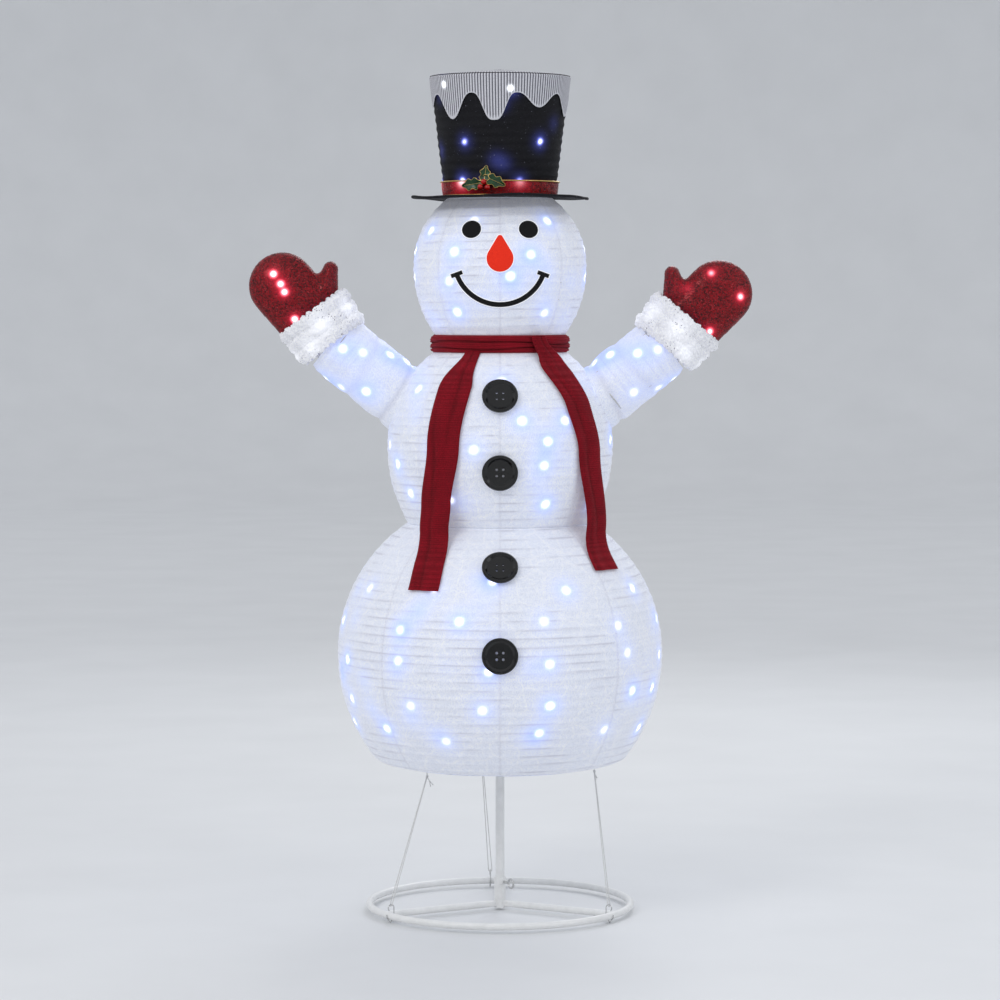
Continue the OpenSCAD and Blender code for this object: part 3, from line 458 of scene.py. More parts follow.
def material_fur():
    """White lace frill: looped threads with small open holes in uneven patches, where painted shade shows the
    cuff's inside.
    """
    m = Nodes("fur")
    loops = m.voronoi(330)
    hairs = m.noise(1200, 4)
    colour = m.ramp(loops.outputs["Distance"], [(0.1, (0.95, 0.95, 0.96)), (0.75, (0.74, 0.74, 0.78))])
    colour = m.mix(0.3, colour, m.ramp(hairs, [(0.35, (0.78, 0.78, 0.80)), (0.6, (1, 1, 1))]), "MULTIPLY")
    cells = m.voronoi(210, "F1", (1, 1, 0.7))
    holes = m.ramp(cells.outputs["Distance"], [(0.20, (1, 1, 1)), (0.30, (0, 0, 0))])
    patches = m.ramp(m.noise(30, 2), [(0.50, (0, 0, 0)), (0.62, (1, 1, 1))])
    open_share = m.mix(1.0, holes, patches, "MULTIPLY")
    # Where the lace is open, the grey is painted shade of the cuff's inside seen through the holes.
    m.feed("Base Color", m.mix(open_share, colour, (0.40, 0.39, 0.42)))
    m.set(roughness=0.9, sheen_weight=0.4)
    m.set(emission_color=(0.90, 0.93, 1, 1))
    lit = m.math("ADD", m.attribute_times("glow", 0.5), 0.16)
    m.feed("Emission Strength", m.mix(open_share, lit, (0, 0, 0)))
    m.bump(m.mix(0.5, loops.outputs["Distance"], hairs), 0.9, 0.0022)


def material_felt(name, dark, light, glow=0.0):
    m = Nodes(name)
    fibres = m.noise(1300, 4)
    m.feed("Base Color", m.ramp(fibres, [(0.35, dark), (0.65, light)]))
    m.set(roughness=0.88, sheen_weight=0.05, specular_ior_level=0.3)
    if glow:
        m.set(emission_color=(*light, 1))
        m.set(emission_strength=glow)
    m.bump(fibres, 0.5, 0.0006)


def material_gloss(name, dark, light, roughness=0.12):
    m = Nodes(name)
    m.feed("Base Color", m.ramp(m.noise(90, 3), [(0.3, dark), (0.7, light)]))
    m.set(roughness=roughness, specular_ior_level=0.4, coat_weight=0.15)
    m.bump(m.noise(700, 2), 0.04, 0.0003)


def material_gold():
    m = Nodes("gold")
    m.feed("Base Color", m.ramp(m.noise(800, 2), [(0.3, (0.55, 0.33, 0.08)), (0.7, (0.90, 0.66, 0.25))]))
    m.set(metallic=1.0, roughness=0.28)
    m.bump(m.noise(1600, 2), 0.3, 0.0004)


def material_lamp():
    m = Nodes("lamp")
    m.feed("Base Color", m.ramp(m.noise(500, 2), [(0.3, (0.80, 0.86, 0.95)), (0.7, (0.93, 0.96, 1.0))]))
    m.set(roughness=0.2, emission_strength=3.0)
    m.set(emission_color=(0.80, 0.88, 1, 1))


def material_floor():
    m = Nodes("floor")
    m.feed("Base Color", m.ramp(m.noise(3, 3), [(0.3, (0.74, 0.75, 0.76)), (0.7, (0.77, 0.78, 0.79))]))
    m.set(roughness=0.6)
    m.bump(m.noise(240, 2), 0.03, 0.001)


def make_materials():
    material_coat()
    material_wire()
    material_elastic()
    material_plastic()
    material_cover()
    material_tinsel()
    material_snow()
    # The third colour in each glitter is its painted glint highlight.
    material_glitter("red_glitter", (0.03, 0.0, 0.001), (0.30, 0.002, 0.008), (0.95, 0.16, 0.18), 6.0)
    material_glitter("band", (0.05, 0.0, 0.002), (0.34, 0.003, 0.006), (1.0, 0.28, 0.24), 1.2)
    material_knit()
    material_fur()
    material_felt("black_felt", (0.001, 0.001, 0.001), (0.006, 0.006, 0.007))
    material_felt("white_edge", (0.80, 0.82, 0.86), (0.93, 0.94, 0.97), 0.25)
    material_felt("red_felt", (0.55, 0.012, 0.004), (0.80, 0.030, 0.008), 0.25)
    material_gloss("button", (0.001, 0.001, 0.001), (0.003, 0.003, 0.003))
    material_gloss("holly", (0.004, 0.030, 0.008), (0.012, 0.075, 0.020), 0.3)
    material_gloss("berry", (0.40, 0.006, 0.006), (0.62, 0.012, 0.010))
    material_gold()
    material_lamp()
    material_floor()


# ---------- Mesh building ----------


class Shape:
    """Vertices and faces that end up in one object."""

    def __init__(self):
        self.verts = []
        self.faces = []
        self.values = {}

    def grid(self, rows, cols, point, wrap=False, wrap_rows=False):
        """Quads over rows x cols points; point(i, j) gives each."""
        first = len(self.verts)
        self.verts += [Vector(point(i, j)) for i in range(rows) for j in range(cols)]
        for i in range(rows if wrap_rows else rows - 1):
            for j in range(cols if wrap else cols - 1):
                i1, j1 = (i + 1) % rows, (j + 1) % cols
                corners = (i * cols + j, i * cols + j1, i1 * cols + j1, i1 * cols + j)
                self.faces.append(tuple(first + c for c in corners))
        return first

    def tube(self, path, size, sides=8, closed=False):
        """Round tube along path; size is its radius, or a function of the share of the way."""
        path = [Vector(p) for p in path]
        n = len(path)
        side = None
        rings = []
        for i, p in enumerate(path):
            before = path[i - 1] if i or closed else p
            after = path[(i + 1) % n] if i < n - 1 or closed else p
            along = (after - before).normalized()
            side = along.orthogonal() if side is None else side - along * side.dot(along)
            side = side.normalized()
            up = along.cross(side)
            r = size(i / (n - 1)) if callable(size) else size
            rings.append([p + r * (math.cos(a) * side + math.sin(a) * up)
                          for a in (2 * math.pi * k / sides for k in range(sides))])
        first = self.grid(n, sides, lambda i, j: rings[i][j], wrap=True, wrap_rows=closed)
        if not closed:
            self.faces.append(tuple(first + k for k in reversed(range(sides))))
            self.faces.append(tuple(first + (n - 1) * sides + k for k in range(sides)))

    def ball(self, centre, r, sides=10, squash=1.0):
        rows = sides // 2 + 1
        centre = Vector(centre)

        def point(i, j):
            a = math.pi * (i + 0.5) / rows - math.pi / 2
            b = 2 * math.pi * j / sides
            flat = math.cos(a)
            return centre + r * Vector((flat * math.cos(b), flat * math.sin(b), squash * math.sin(a)))

        first = self.grid(rows, sides, point, wrap=True)
        self.faces.append(tuple(first + k for k in reversed(range(sides))))
        self.faces.append(tuple(first + (rows - 1) * sides + k for k in range(sides)))

    def move(self, matrix, mirrored=False):
        """Applies a matrix, then a mirror across X = 0 if mirrored."""
        self.verts = [matrix @ v for v in self.verts]
        if mirrored:
            self.verts = [Vector((-v.x, v.y, v.z)) for v in self.verts]
            self.faces = [tuple(reversed(f)) for f in self.faces]
        return self

    def make(self, name, material, body, slot, flat=False):
        mesh = bpy.data.meshes.new(name)
        mesh.from_pydata(self.verts, [], self.faces)
        mesh.update()
        if not flat:
            mesh.shade_smooth()
        mesh.materials.append(MATERIAL[material])
        obj = bpy.data.objects.new(name, mesh)
        scene.collection.objects.link(obj)
        for key, values in self.values.items():
            set_values(obj, key, values)
        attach(obj, body)
        return obj


def set_values(obj, name, values):
    layer = obj.data.attributes.new(name, "FLOAT", "POINT")
    layer.data.foreach_set("value", values)


def apply(obj, kind, **settings):
    """Adds a modifier and applies it."""
    modifier = obj.modifiers.new(kind.lower(), kind)
    for key, value in settings.items():
        setattr(modifier, key, value)
    graph = bpy.context.evaluated_depsgraph_get()
    mesh = bpy.data.meshes.new_from_object(obj.evaluated_get(graph))
    old = obj.data
    obj.modifiers.clear()
    obj.data = mesh
    mesh.name = obj.name
    bpy.data.meshes.remove(old)
    return obj


def shine(obj, lamps, halo=0.024, core=0.0058, lit=None, clouds=()):
    """Stores how near each vertex is to a lamp, as glow and spark, and how brightly it is lit."""
    count = len(lamps)
    lamps = [*lamps, *clouds]
    tree = KDTree(len(lamps))
    for i, (place, _) in enumerate(lamps):
        tree.insert(place, i)
    tree.balance()
    glow, spark, even = [], [], []
    for v in obj.data.vertices:
        near = tree.find_range(v.co, halo * 3)
        glow.append(min(1.0, sum(lamps[i][1] * math.exp(-(d / halo) ** 2) for _, i, d in near)))
        spark.append(min(1.0, sum(lamps[i][1] * math.exp(-(d / core) ** 2) for _, i, d in near if i < count)))
        even.append(lit(v.co) if lit else 1.0)
    set_values(obj, "glow", glow)
    set_values(obj, "spark", spark)
    set_values(obj, "lit", even)


def crumple(co, size, depth):
    """Smooth random height at a point."""
    return depth * noise.noise(Vector(co) / size)


def squash_to(obj):
    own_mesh(obj)


# ---------- Elastic ties ----------

TIE_D = 0.0016
TIE_BEND = 0.0032        # radius of the turn round the hook's wire
TIE_TURN_R = 0.2348      # distance of the hook loop's top from the pole
TIE_KNOT_R = 0.180
TIE_KNOT_DROP = 0.009    # knot below the base
HOOK_WIRE_R = 0.00115
TIE_TAILS = ((0.009, -0.016), (0.015, -0.013))
KNOT_R = (0.0018, 0.0022)
TIE_ANGLES = {"left": (-145.5, -136), "right": (-34.5, -20), "back": (94.5, 101)}


def polar(r, degrees, z):
    a = math.radians(degrees)
    return Vector((r * math.cos(a), r * math.sin(a), z))


def make_elastic(side):
    """A doubled tie: from the knot down round the top of the hook's loop and back, with two short tails."""
    hook_angle, tie_angle = TIE_ANGLES[side]
    turn = polar(TIE_TURN_R, hook_angle, high("ring_hook_" + side) - HOOK_WIRE_R)
    knot = polar(TIE_KNOT_R, tie_angle, BASE - TIE_KNOT_DROP)
    across = polar(1, hook_angle + 90, 0)
    up = (knot - turn).normalized()
    bend = [turn + TIE_BEND * (math.cos(a) * across - math.sin(a) * up)
            for a in (math.pi * k / 8 for k in range(9))]
    start, end = knot + TIE_D / 2 * across, knot - TIE_D / 2 * across
    legs = 14
    path = [start.lerp(bend[0], k / legs) for k in range(legs)] + bend
    path += [bend[-1].lerp(end, k / legs) for k in range(1, legs + 1)]
    shape = Shape()
    shape.tube(path, TIE_D / 2, 8)
    tie = shape.make("tie_" + side, "elastic", "stand", "white_elastic")
    tails = Shape()
    along = polar(1, tie_angle + 90, 0)
    for k, (dx, dz) in enumerate(TIE_TAILS):
        tip = knot + along * dx + Vector((0, 0, dz))
        bow = along * 0.002 * (1 - 2 * k)
        tails.tube([knot, knot.lerp(tip, 0.5) + bow, tip], TIE_D / 2, 8)
        tails.ball(tip, TIE_D * 0.8, 8)
    for a in range(3):
        loop = [knot + Matrix.Rotation(a * math.pi / 3, 3, up) @ (
            KNOT_R[0] * math.cos(t) * along + KNOT_R[1] * math.sin(t) * up)
            for t in (2 * math.pi * k / 12 for k in range(12))]
        tails.tube(loop, TIE_D / 2, 8, closed=True)
    tails.tube([knot, Vector((knot.x, knot.y, BASE - 0.0015))], TIE_D / 2, 8)
    knot_piece = tails.make("tie_knot_" + side, "elastic", "stand", "white_elastic")
    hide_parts("elastic_" + side)


# ---------- Covers ----------

ROWS = {}                # each ball's rows of bulbs: lists of (angle, level, power)
LED = {}                 # where each bulb shines through the cloth: (place, power)
CLOUDS = {}              # dim patches of light between the bulbs, with no bulb behind them: (place, power)
PANELS = 8
BULB_GAP = 0.14
TIP_IN = 0.0076          # bulb tips inside the cloth
LOWER_ROWS = [0.074 + 0.066 * k for k in range(5)]      # rows of bulbs above the base
MIDDLE_ROWS = (-0.09, -0.04, 0.01, 0.052, 0.111)        # from the ball's widest level
HEAD_ROWS = (-0.084, -0.03, 0.024, 0.076)
HAT_ROWS = [0.03 + 0.078 * k for k in range(3)]         # above the brim
CLOTH_IN = 0.0006        # covers' surface inside the balls' outlines
COIL_WIRE_R = 0.0008


def place_lights(name, levels, r_of):
    """Bulbs in rows, with a little disorder."""
    rows = []
    for z0 in levels:
        count = max(5, round(2 * math.pi * (r_of(z0) - TIP_IN) / BULB_GAP))
        shift = rng.random()
        row = []
        for k in range(count):
            a = 2 * math.pi * (k + shift + rng.uniform(-0.28, 0.28)) / count
            z = z0 + rng.uniform(-0.013, 0.013)
            row.append((a, z, rng.choice((0.5, 0.75, 1.0))))
        rows.append(row)
    ROWS[name] = rows
    LED[name] = [(around(r_of(z), a, z), power) for row in rows for a, z, power in row]
    lowest, highest = levels[0] - 0.02, levels[-1] + 0.02
    CLOUDS[name] = [(around(r_of(z), rng.uniform(0, 2 * math.pi), z), rng.uniform(0.15, 0.5))
                    for z in (rng.uniform(lowest, highest) for _ in range(len(LED[name])))]


def wire_phase(z, angle, start):
    """Distance from the nearest wire of a coil spring, as a share of its pitch, from 0 to 0.5."""
    turns = (z - start) / WIRE_PITCH - angle / (2 * math.pi)
    return abs(turns - round(turns))


def make_cover(name, ball, cols, body, points):
    """Cloth over a coil spring: it sags between the wires and puckers along its panels' seams."""
    rows = len(points)
    start = ball[4] - WIRE_PITCH / 4
    lines = []

    def point(i, j):
        r, z = points[i]
        a = 2 * math.pi * j / cols
        edge = smooth(min(i, rows - 1 - i) / 7)
        off = wire_phase(z, a, start)
        sag = 0.0010 * math.sin(math.pi * off) ** 2
        seam = abs((a * PANELS / (2 * math.pi) + 0.5) % 1 - 0.5) * 2 * math.pi / PANELS * r
        pucker = 0.0011 * math.exp(-(seam / 0.004) ** 2)
        ripple = crumple((math.sin(a) * r, math.cos(a) * r, z * 2.2), 0.03, 0.0008)
        # The line attribute is painted shade: the wire inside seen as a dark line, stronger in patches, and
        # shade along the puckered seams.
        patch = noise.noise(Vector((math.sin(a) * 2.2, math.cos(a) * 2.2, z * 9))) + 0.6 * noise.noise(
            Vector((math.sin(a) * 7, math.cos(a) * 7, z * 45 + 5)))
        wire = math.exp(-(off * WIRE_PITCH / 0.0013) ** 2) * (0.12 + 0.88 * smooth((patch + 0.12) / 0.6))
        lines.append(max(wire, 0.35 * math.exp(-(seam / 0.0022) ** 2)))
        return around(r - edge * (sag + pucker - ripple) - CLOTH_IN, a, z)

    shape = Shape()
    shape.grid(rows, cols, point, wrap=True)
    shape.values["line"] = lines
    cover = shape.make(name + "_cloth", "cover", body, "white_fabric")
    shine(cover, LED[name], lit=lambda co: 0.72 + 0.28 * math.sqrt(
        max(0, 1 - ((co.z - ball[2]) / ball_half(ball, co.z)) ** 2)), clouds=CLOUDS[name])
    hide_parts(name + "_cover")
    squash_to(cover)
    return cover


def turn_under(steps):
    """The lower cover's turn from its side to the flat base, as (r, z), from the base outwards."""
    base_r = radius("bottom_panel")
    side_r, side_z = LOWER[1] - 0.008, BASE + 0.003
    points = []
    for k in range(steps):
        t = 1 - k / steps
        points.append(((1 - t) ** 2 * LOWER[1] + 2 * t * (1 - t) * side_r + t * t * base_r,
                       (1 - t) ** 2 * LOWER[0] + 2 * t * (1 - t) * side_z + t * t * BASE + 0.0006))
    return points


def make_covers():
    place_lights("lower", [BASE + d for d in LOWER_ROWS], lambda z: ball_r(LOWER, z))
    place_lights("middle", [MIDDLE[2] + d for d in MIDDLE_ROWS], lambda z: ball_r(MIDDLE, z))
    place_lights("head", [HEAD[2] + d for d in HEAD_ROWS], lambda z: ball_r(HEAD, z))
    place_lights("hat", [BRIM + d for d in HAT_ROWS], crown_r)
    make_cover("lower", LOWER, 400, "pole", turn_under(14) + ball_side(LOWER, 200))
    make_cover("middle", MIDDLE, 300, "waist", ball_side(MIDDLE, 150))
    make_cover("head", HEAD, 250, "neck", ball_side(HEAD, 130))


def make_bottom_panel():
    """The base's cloth disc: it hangs a little between the cross wires, with a hem round the pole."""
    inner, outer = 0.014, radius("bottom_panel")
    rows, cols = 40, 160

    def point(i, j):
        t = i / (rows - 1)
        r = inner + (outer - inner) * t
        a = 2 * math.pi * j / cols
        hang = 0.0016 * math.sin(math.pi * t) * (0.6 + 0.4 * math.cos(4 * a))
        hem = 0.0008 if i < 2 else 0
        lift = crumple((r * math.cos(a), r * math.sin(a), 0), 0.05, 0.0008)
        return around(r, a, BASE - 0.0006 - hem - hang + lift)

    shape = Shape()
    shape.grid(rows, cols, point, wrap=True)
    shape.values["line"] = [0.0] * (rows * cols)
    panel = shape.make("base_cloth", "cover", "pole", "white_fabric")
    shine(panel, LED["lower"], lit=lambda co: 0.5)
    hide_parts("bottom_panel")


# ---------- Coil springs and light strings ----------


def helix(r_of, low_z, high_z, per_turn=32):
    count = int((high_z - low_z) / WIRE_PITCH * per_turn)
    path = []
    for i in range(count + 1):
        z = low_z + i * WIRE_PITCH / per_turn
        path.append(around(r_of(z), 2 * math.pi * i / per_turn, z))
    return path


def make_coil(name, r_of, body):
    lo, hi = low(name) + COIL_WIRE_R, high(name) - COIL_WIRE_R
    shape = Shape()
    shape.tube(helix(r_of, lo, hi), COIL_WIRE_R, 6)
    coil = shape.make(name + "_wire", "wire", body, "plated_wire")
    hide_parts(name)
    squash_to(coil)


def make_lights(name, r_of, body):
    """Rings of lead, joined at the back, that pass through the holders of bulbs pointing outwards."""
    shape = Shape()
    lead_r, bulb_r, holder_r, holder_l = 0.0009, 0.0025, 0.0023, 0.009
    deep = TIP_IN + holder_l + bulb_r
    steps = 6
    backs = []
    for row in ROWS[name]:
        turns = []
        for (a0, z0, _), (a1, z1, _) in zip(row, row[1:] + [(row[0][0] + 2 * math.pi, row[0][1], 0)]):
            for k in range(steps):
                z = z0 + (z1 - z0) * smooth(k / steps)
                turns.append(around(r_of(z) - deep, a0 + (a1 - a0) * k / steps, z))
        shape.tube(turns, lead_r, 6, closed=True)
        backs.append(max(turns, key=lambda p: p.y))
        for a, z, _ in row:
            r = r_of(z)
            shape.tube([around(r - deep - bulb_r, a, z), around(r - TIP_IN - bulb_r, a, z)], holder_r, 8)
            shape.ball(around(r - TIP_IN - bulb_r, a, z), bulb_r * 0.9, 10)
    for below, above in zip(backs, backs[1:]):
        shape.tube([below, above], lead_r, 6)
    lights = shape.make(name + "_string", "lamp", body, "led_white")
    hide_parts(name + "_lights")
    squash_to(lights)


def make_insides():
    inset = SKIN + CLOTH_IN + COIL_WIRE_R

    def inside(ball):
        return lambda z: ball_r(ball, z, -inset)

    make_coil("lower_coil", inside(LOWER), "pole")
    make_coil("middle_coil", inside(MIDDLE), "waist")
    make_coil("head_coil", inside(HEAD), "neck")
    make_coil("hat_coil", lambda z: crown_r(z) - inset, "brim")
    make_lights("lower", lambda z: ball_r(LOWER, z), "pole")
    make_lights("middle", lambda z: ball_r(MIDDLE, z), "waist")
    make_lights("head", lambda z: ball_r(HEAD, z), "neck")
    make_lights("hat", crown_r, "brim")


# ---------- Face ----------

FACE_OUT = 0.0006
FELT_T = 0.0016
EYE_X, EYE_TILT = 0.05, 0.35
EYE = (0.017, 0.0152)               # half width and half height
EYE_EDGED = (0.0188, 0.0170)        # with its white edge
NOSE = (0.0235, 0.005, 0.036)       # lower radius, tip radius and length


def on_head(x, z, out):
    """Point on the head's front at x and z, moved out by out."""
    r = ball_r(HEAD, z, out)
    return Vector((x, -math.sqrt(max(0.0, r * r - x * x)), z))


def felt(outline, thickness, out, rings=5):
    """A rounded patch of felt whose flat outline (x, z) lies on the head's front."""
    n = len(outline)
    cx = sum(p[0] for p in outline) / n
    cz = sum(p[1] for p in outline) / n
    shape = Shape()
    steps = [(1.0, 0.0), (1.0, 0.6), (0.985, 0.9), (0.95, 1.0)]
    steps += [(0.95 * (1 - k / rings), 1.0) for k in range(1, rings)]

    def point(i, j):
        share, up = steps[i]
        x = cx + (outline[j][0] - cx) * share
        z = cz + (outline[j][1] - cz) * share
        return on_head(x, z, out + thickness * up)

    first = shape.grid(len(steps), n, point, wrap=True)
    last = first + (len(steps) - 1) * n
    shape.verts.append(on_head(cx, cz, out + thickness))
    middle = len(shape.verts) - 1
    for j in range(n):
        shape.faces.append((last + j, last + (j + 1) % n, middle))
    return shape


def ribbon(path, width, out, thickness):
    """A flat strip on the head's front along path (x, z)."""
    shape = Shape()
    n = len(path)

    section = ((-1.0, 0.0), (-0.96, 0.8), (-0.85, 1.0), (0.0, 1.0), (0.85, 1.0), (0.96, 0.8), (1.0, 0.0))

    def point(i, j):
        a = Vector(path[max(0, i - 1)])
        b = Vector(path[min(n - 1, i + 1)])
        t = (b - a).normalized()
        side = Vector((-t.y, t.x))
        share, up = section[j]
        p = Vector(path[i]) + side * share * width / 2
        return on_head(p.x, p.y, out + thickness * up)

    shape.grid(n, 7, point)
    return shape


def merge(shapes):
    total = Shape()
    for s in shapes:
        first = len(total.verts)
        total.verts += s.verts
        total.faces += [tuple(first + k for k in f) for f in s.faces]
    return total


def oval(cx, cz, rx, rz, tilt=0.0, n=48):
    c, s = math.cos(tilt), math.sin(tilt)
    points = []
    for k in range(n):
        a = 2 * math.pi * k / n
        x, z = rx * math.cos(a), rz * math.sin(a)
        points.append((cx + x * c - z * s, cz + x * s + z * c))
    return points


def drop(cx, cz, r, tip_r, length, grow=0.0, n=64):
    """Outline of a nose: two circles joined by their outer tangents, grown by grow."""
    lean = math.asin((r - tip_r) / length)
    points = []
    for k in range(n):
        a = -math.pi / 2 + 2 * math.pi * k / n
        upper = math.sin(a) > math.sin(lean)
        big = (r + grow) if not upper else (tip_r + grow)
        lift = length if upper else 0
        points.append((cx + big * math.cos(a), cz + lift + big * math.sin(a)))
    return points


def make_face():
    eye_z, nose_z = HEAD[2] + 0.064, HEAD[2] + 0.013
    smile_r, smile_half, stroke = 0.081, math.radians(70), 0.0088
    black, white = [], []
    for side in (-1, 1):
        black.append(felt(oval(side * EYE_X, eye_z, *EYE, side * -EYE_TILT), FELT_T, FACE_OUT))
        edged = oval(side * EYE_X, eye_z, *EYE_EDGED, side * -EYE_TILT)
        white.append(felt(edged, FELT_T * 0.5, FACE_OUT * 0.6))
    eyes = merge(black).make("eye_felt", "black_felt", "neck", "black_felt")
    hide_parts("eyes")
    squash_to(eyes)
    arc = [(smile_r * math.sin(a), nose_z - smile_r * math.cos(a))
           for a in (smile_half * (2 * k / 60 - 1) for k in range(61))]
    parts = [ribbon(arc, stroke, FACE_OUT, FELT_T)]
    edges = [ribbon(arc, stroke + 0.0032, FACE_OUT * 0.6, FELT_T * 0.5)]
    for side in (-1, 1):
        c, s = math.cos(smile_half), math.sin(smile_half)
        centre = Vector((side * smile_r * s, nose_z - smile_r * c))
        across = Vector((side * s, -c))
        bar = [tuple(centre + across * 0.0105 * (k / 6)) for k in range(-6, 7)]
        parts.append(ribbon(bar, stroke * 0.82, FACE_OUT + 0.00005, FELT_T))
        edge = [tuple(centre + across * 0.0122 * (k / 6)) for k in range(-6, 7)]
        edges.append(ribbon(edge, stroke * 0.82 + 0.003, FACE_OUT * 0.6, FELT_T * 0.5))
    mouth = merge(parts).make("smile_felt", "black_felt", "neck", "black_felt")
    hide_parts("mouth")
    squash_to(mouth)
    nose = felt(drop(0, nose_z, *NOSE), FELT_T, FACE_OUT)
    nose = nose.make("nose_felt", "red_felt", "neck", "red_felt")
    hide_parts("nose")
    squash_to(nose)
    white.append(felt(drop(0, nose_z, *NOSE, 0.0016), FELT_T * 0.5, FACE_OUT * 0.6))
    trim = merge(white + edges).make("face_edging", "white_edge", "neck", "white_fabric")
    squash_to(trim)


# ---------- Hat ----------


def make_hat():
    rows, cols = 90, 280
    low_z = low("hat_cover")

    def point(i, j):
        t = i / (rows - 1)
        z = low_z + (CROWN - low_z) * t
        a = 2 * math.pi * j / cols
        off = wire_phase(z, a, CROWN)
        edge = smooth(min(i, rows - 1 - i) / 4)
        sag = 0.0013 * math.sin(math.pi * off) ** 2
        return around(crown_r(z) - 0.0004 - edge * (sag - crumple((a * 0.1, z, 0), 0.02, 0.0005)), a, z)

    shape = Shape()
    shape.grid(rows, cols, point, wrap=True)
    crown = shape.make("hat_crown", "tinsel", "brim", "black_fabric")
    shine(crown, LED["hat"], halo=0.014, core=0.0046, clouds=CLOUDS["hat"])
    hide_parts("hat_cover")
    squash_to(crown)
    make_brim()
    make_band()
    make_snow()
    make_holly()


def make_brim():
    """A stiffened cloth ring over a rim wire, slightly wavy, with a rolled edge."""
    inner, outer = radius("hat_brim") - 0.0638, radius("hat_brim")
    cols = 160
    edge_r = 0.0024
    top = [(inner + (outer - 2 * edge_r - inner) * k / 24, 0.0013) for k in range(25)]
    roll = [(outer - edge_r + edge_r * math.cos(b), edge_r * math.sin(b))
            for b in (math.radians(130 - 260 * k / 12) for k in range(13))]
    under = [(r, -h) for r, h in reversed(top)]
    profile = top + roll + under

    def point(i, j):
        r, h = profile[i]
        a = 2 * math.pi * j / cols
        t = (r - inner) / (outer - inner)
        wave = 0.0018 * t * math.sin(3 * a + 0.6) + 0.0007 * t * math.sin(8 * a)
        return around(r, a, BRIM + h + wave)

    shape = Shape()
    shape.grid(len(profile), cols, point, wrap=True, wrap_rows=True)
    brim = shape.make("hat_brim_cloth", "tinsel", "brim", "black_fabric")
    shine(brim, LED["hat"], halo=0.008, core=0.003)
    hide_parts("hat_brim")


def make_band():
    low_z, high_z = low("hat_band"), high("hat_band")
    rows, cols = 14, 260
    thick = 0.0021

    def point(i, j):
        t = i / (rows - 1)
        a = 2 * math.pi * j / cols
        z = low_z + (high_z - low_z) * min(1, max(0, (t * (rows - 1) - 1) / (rows - 3)))
        bulge = thick * math.sin(math.pi * min(1, max(0, (t - 0.04) / 0.92))) ** 0.35
        return around(crown_r(z) + 0.0005 + bulge + crumple((a, z * 8, 3), 0.05, 0.0004), a, z)

    shape = Shape()
    shape.grid(rows, cols, point, wrap=True)
    band = shape.make("hat_ribbon", "band", "brim", "red_glitter")
    shine(band, LED["hat"], halo=0.022, core=0.010)
    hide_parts("hat_band")
    squash_to(band)
    trim = Shape()
    for z, r in ((high_z - 0.0016, 0.0013), (low_z + 0.0012, 0.0009)):
        ring = [around(crown_r(z) + thick + 0.0012, 2 * math.pi * k / 200, z) for k in range(200)]
        trim.tube(ring, r, 8, closed=True)
    gold = trim.make("hat_ribbon_edge", "gold", "brim", "red_glitter")
    squash_to(gold)


SNOW_LOW = 0.084         # reach of the longest drip below the crown's top
SNOW_BAND = 0.036        # depth of the snow above the hollows
SNOW_DRIPS = (0, 0.023, 0.010, 0.004, 0.018, 0.008, 0.014, 0.027, 0.003)


def snow_edge(angle):
    """Level of the snow's lower edge: round-tipped drips with arched hollows between them."""
    count = len(SNOW_DRIPS)
    turn = (math.degrees(angle) + 5) * count / 360
    k = math.floor(turn + 0.5)
    off = turn - k
    reach = SNOW_LOW - SNOW_DRIPS[k % count] - SNOW_BAND
    soft = 0.5 + 0.5 * math.cos(2 * math.pi * off)
    blunt = 0.9 if k % 3 == 0 else 0.15
    return CROWN - SNOW_BAND - reach * (soft + (smooth(soft) - soft) * blunt)


def make_snow():
    """Knitted mesh over the hat's top: a tent to the pole, a rounded rim and drips down the crown."""
    cols = 450
    out = 0.0009
    rim_r = 0.007
    top_rows, skirt_rows = 26, 34
    hem = []

    def point(i, j):
        a = 2 * math.pi * j / cols
        hem.append(smooth((i - top_rows - skirt_rows + 4) / 3))
        if i < top_rows:
            t = i / (top_rows - 1)
            r = t * (CROWN_TOP_R + out - rim_r) + 0.0004
            z = PEAK - 0.0004 - (PEAK - CROWN - 0.0016) * t ** 0.9
            wave = 0.0012 * math.sin(math.pi * t) * math.cos(4 * a)
            return around(r, a, z - abs(wave))
        s = (i - top_rows + 1) / skirt_rows
        z_low = snow_edge(a)
        bend = min(1, s * 5)
        if s < 0.2:
            b = math.pi / 2 * (1 - bend)
            r = CROWN_TOP_R + out - rim_r + rim_r * math.cos(b)
            return around(r, a, CROWN + 0.0011 - rim_r * (1 - math.sin(b)))
        t = (s - 0.2) / 0.8
        z = CROWN + 0.0011 - rim_r + (z_low - CROWN + rim_r) * t
        lift = 0.0006 + 0.0009 * noise.noise(Vector((math.cos(a) * 6, math.sin(a) * 6, z * 30)))
        return around(crown_r(z) + out + max(0, lift) * t, a, z)

    shape = Shape()
    shape.grid(top_rows + skirt_rows, cols, point, wrap=True)
    shape.values["hem"] = hem
    snow = shape.make("hat_snow_mesh", "snow", "top", "snow_mesh")
    apply(snow, "SOLIDIFY", thickness=0.0009, offset=0.6)
    shine(snow, LED["hat"], halo=0.008, core=0.0045)
    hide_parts("hat_snow")
    squash_to(snow)


